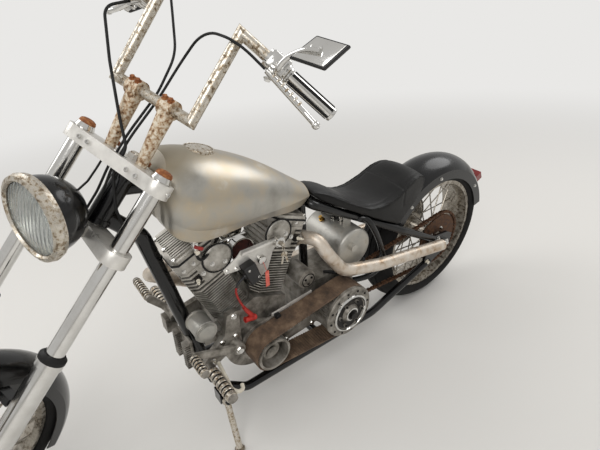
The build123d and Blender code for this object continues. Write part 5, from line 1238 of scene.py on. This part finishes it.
class CHOPPER_OT_tank(ChopperOperator, bpy.types.Operator):
    """Add the filler ring, the petcock with its line, and the oil tank's fittings and hoses"""

    bl_idname = "chopper.tank"
    bl_label = "Tanks"

    def build(self, scene):
        filler = aim(FILLER, (0, sin(FILLER_TILT), cos(FILLER_TILT)))
        ring = ((2, 36), (12, 36), (14.6, 36.4), (15.4, 37.6), (14.4, 39.6), (10, 41), (1, 41.6))
        shape = lathe(bmesh.new(), ring, 72, filler, ring=True)
        lathe(shape, ((12, 0), (12, 34.2), (14, 33), (15, 30), (15.6, 18), (15.8, 0)), 72, filler)
        for y, z in on_circle(31.6, 24):
            hex_bolt(shape, filler @ Vector((13.4, y, z)), filler.to_3x3() @ Vector((1, 0, 0)), 1.5, 1.2, 0.3)
        add_piece("filler_ring", shape, "pitted_chrome")

        # The petcock under the tank with its lever, knob and line
        cock = ((-1, 0), (-1, 12), (5, 12), (6, 8), (14, 8), (15, 9.5), (30, 9.5), (31, 6), (40, 5.5), (42, 6.2),
                (48, 5), (52, 4), (52, 0))
        add_piece("petcock", lathe(bmesh.new(), cock, 32, aim((88, -1063, 757), (0.12, 0, -1))), "chrome")
        shape = prism(bmesh.new(), ((-6, -4), (20, -5), (22, 0), (20, 5), (-6, 4)), 0, 5,
                      at(100, -1065, 734) @ turn(-35), bevel=1.2)
        add_piece("petcock_lever", shape, "red_plastic")
        knob = ((0, 0), (0, 6), (10, 6), (11, 4.5), (11, 0))
        add_piece("petcock_knob", lathe(bmesh.new(), knob, 24, at(94, -1063, 716)), "cream_plastic")
        wire("fuel_line", ((94, -1063, 706), (94, -1063, 690), (86, -1040, 676), (70, -1000, 700), (30, -960, 700),
                           (-20, -925, 690), (-60, -905, 650)), 4.0, "moulded_rubber")

        # The oil tank's two fittings, its vent and its hoses
        shape = lathe(bmesh.new(), ((-2, 0), (-2, 9), (6, 9), (7, 6), (16, 5.5), (17, 8), (24, 8), (24, 0)), 24,
                      aim((35, -505, 565), (0, 0, 1)))
        lathe(shape, ((-2, 0), (-2, 8), (5, 8), (6, 5), (12, 4.5), (12, 0)), 24, aim((2, -512, 564), (0, -0.1, 1)))
        add_piece("oil_tank_fittings", shape, "chrome")
        vent = ((-3, 0), (-3, 10), (5, 10), (6, 7), (18, 7), (18, 0))
        add_piece("oil_tank_vent", lathe(bmesh.new(), vent, 24, aim((-30, -536, 556), (0, -0.5, 0.87))), "brass")
        wire("oil_hose", ((74, -461, 574), (78, -452, 590), (100, -436, 580), (114, -406, 520), (114, -370, 440),
                          (112, -352, 372), (104, -384, 326), (82, -440, 310), (60, -484, 312)), 11.0, "gloss_enamel")
        wire("oil_feed", ((126, -480, 452), (136, -480, 452), (138, -500, 430), (118, -540, 410), (96, -580, 420),
                          (60, -600, 410)), 5.5, "moulded_rubber")


class CHOPPER_OT_controls(ChopperOperator, bpy.types.Operator):
    """Rib the foot pegs and bolt the forward controls, the fender and the axle plates"""

    bl_idname = "chopper.controls"
    bl_label = "Foot controls"

    def build(self, scene):
        rubbers, sleeves, bolts, cream = (bmesh.new() for _ in range(4))
        # Columns: y, z, radius, first rib, last rib, pitch
        for y, z, radius, first, last, pitch in ((-1084, 305, 15, 128, 242, 17), (-1134, 400, 11, 133, 198, 12),
                                                 (-1100, 382, 15, -146, -242, 17), (-1150, 447, 11, -142, -242, 12)):
            sign = 1 if first > 0 else -1
            core, land, crest = radius + 0.6, radius + 2.6, radius + 3.4
            sleeve = [(first, radius - 1)]
            spot = first
            while abs(spot + sign * pitch) < abs(last):
                sleeve += [(spot + sign * along, size) for along, size in (
                    (0, land), (1.5, crest), (pitch - 8, crest), (pitch - 6.5, land), (pitch - 6, core),
                    (pitch - 0.5, core))]
                low, high = sorted((spot + sign * (pitch - 5.5), spot + sign * (pitch - 1)))
                lathe(rubbers, ((low, radius), (low, radius + 1.8), (high, radius + 1.8), (high, radius)), 32,
                      at(0, y, z), ring=True)
                spot += sign * pitch
            sleeve += [(spot, land), (last, radius + 2), (last + sign * 1.4, radius), (last + sign * 1.4, 0)]
            lathe(sleeves, sleeve, 40, at(0, y, z))
        # Forward controls, left and right, and the pedal's pivot
        side_bolts(bolts, 102, ((-984, 452), (-984, 372), (-1030, 372), (-1068, 318)), 7, 6, 1.6)
        side_bolts(bolts, -92, ((-992, 408), (-990, 374), (-1060, 376)), 7, 6, 1.6)
        side_bolts(bolts, 132, [(-989, 341)], 10, 7, 2)
        # Axle plates and fender stays, on both sides
        for side in SIDES:
            side_bolts(bolts, side * 124, [(y, REAR_RADIUS + up) for y, up in ((-92, 40), (30, -20), (-40, 30))],
                       6, 5, 1.4)
            side_bolts(cream, side * 124, [(-90, REAR_RADIUS - 67)], 8, 7, 2)
            side_bolts(bolts, side * 84.5, [(282 * cos(a), REAR_RADIUS + 282 * sin(a))
                                            for a in map(radians, (38, 96, 132))], 5, 4, 1.2)
        add_piece("peg_rubbers", rubbers, "moulded_rubber")
        add_piece("peg_sleeves", sleeves, "pitted_chrome")
        add_piece("frame_bolts", bolts, "chrome")
        add_piece("cream_bolts", cream, "cream_plastic")
        hook = ((101, -1052, 300), (128, -1054, 292), (160, -1056, 280), (190, -1058, 272), (203, -1044, 262),
                (196, -1026, 254), (182, -1020, 256))
        add_piece("peg_hook", bend_bar(bmesh.new(), hook, 6.0, 14), "cream_plastic")


STEPS = (CHOPPER_OT_stage, CHOPPER_OT_finishes, CHOPPER_OT_tyres, CHOPPER_OT_headlamp, CHOPPER_OT_bars,
         CHOPPER_OT_primary, CHOPPER_OT_engine, CHOPPER_OT_ignition, CHOPPER_OT_chain, CHOPPER_OT_seat,
         CHOPPER_OT_fork, CHOPPER_OT_tank, CHOPPER_OT_controls)


class CHOPPER_PT_panel(bpy.types.Panel):
    """The chopper's steps and sizes in the 3D view's sidebar"""

    bl_label = "Chopper"
    bl_idname = "CHOPPER_PT_panel"
    bl_space_type = "VIEW_3D"
    bl_region_type = "UI"
    bl_category = "Chopper"

    def draw(self, context):
        for group in (context.scene.chopper_sizes, context.scene.chopper_colours):
            for name in group.bl_rna.properties.keys():
                if name not in {"rna_type", "name"}:
                    self.layout.prop(group, name)
        for step in STEPS:
            self.layout.operator(step.bl_idname)


CLASSES = (ChopperSizes, ChopperColours) + STEPS + (CHOPPER_PT_panel,)


def register():
    """Register the classes and hang the user's values on the scene."""
    for item in CLASSES:
        bpy.utils.register_class(item)
    bpy.types.Scene.chopper_sizes = PointerProperty(type=ChopperSizes)
    bpy.types.Scene.chopper_colours = PointerProperty(type=ChopperColours)


def unregister():
    """Take the classes and the user's values away again."""
    del bpy.types.Scene.chopper_sizes
    del bpy.types.Scene.chopper_colours
    for item in reversed(CLASSES):
        bpy.utils.unregister_class(item)


def main():
    """Register the steps, then build everything in order."""
    register()
    for step in STEPS:
        group, name = step.bl_idname.split(".")
        getattr(getattr(bpy.ops, group), name)()


if __name__ == "__main__":
    main()
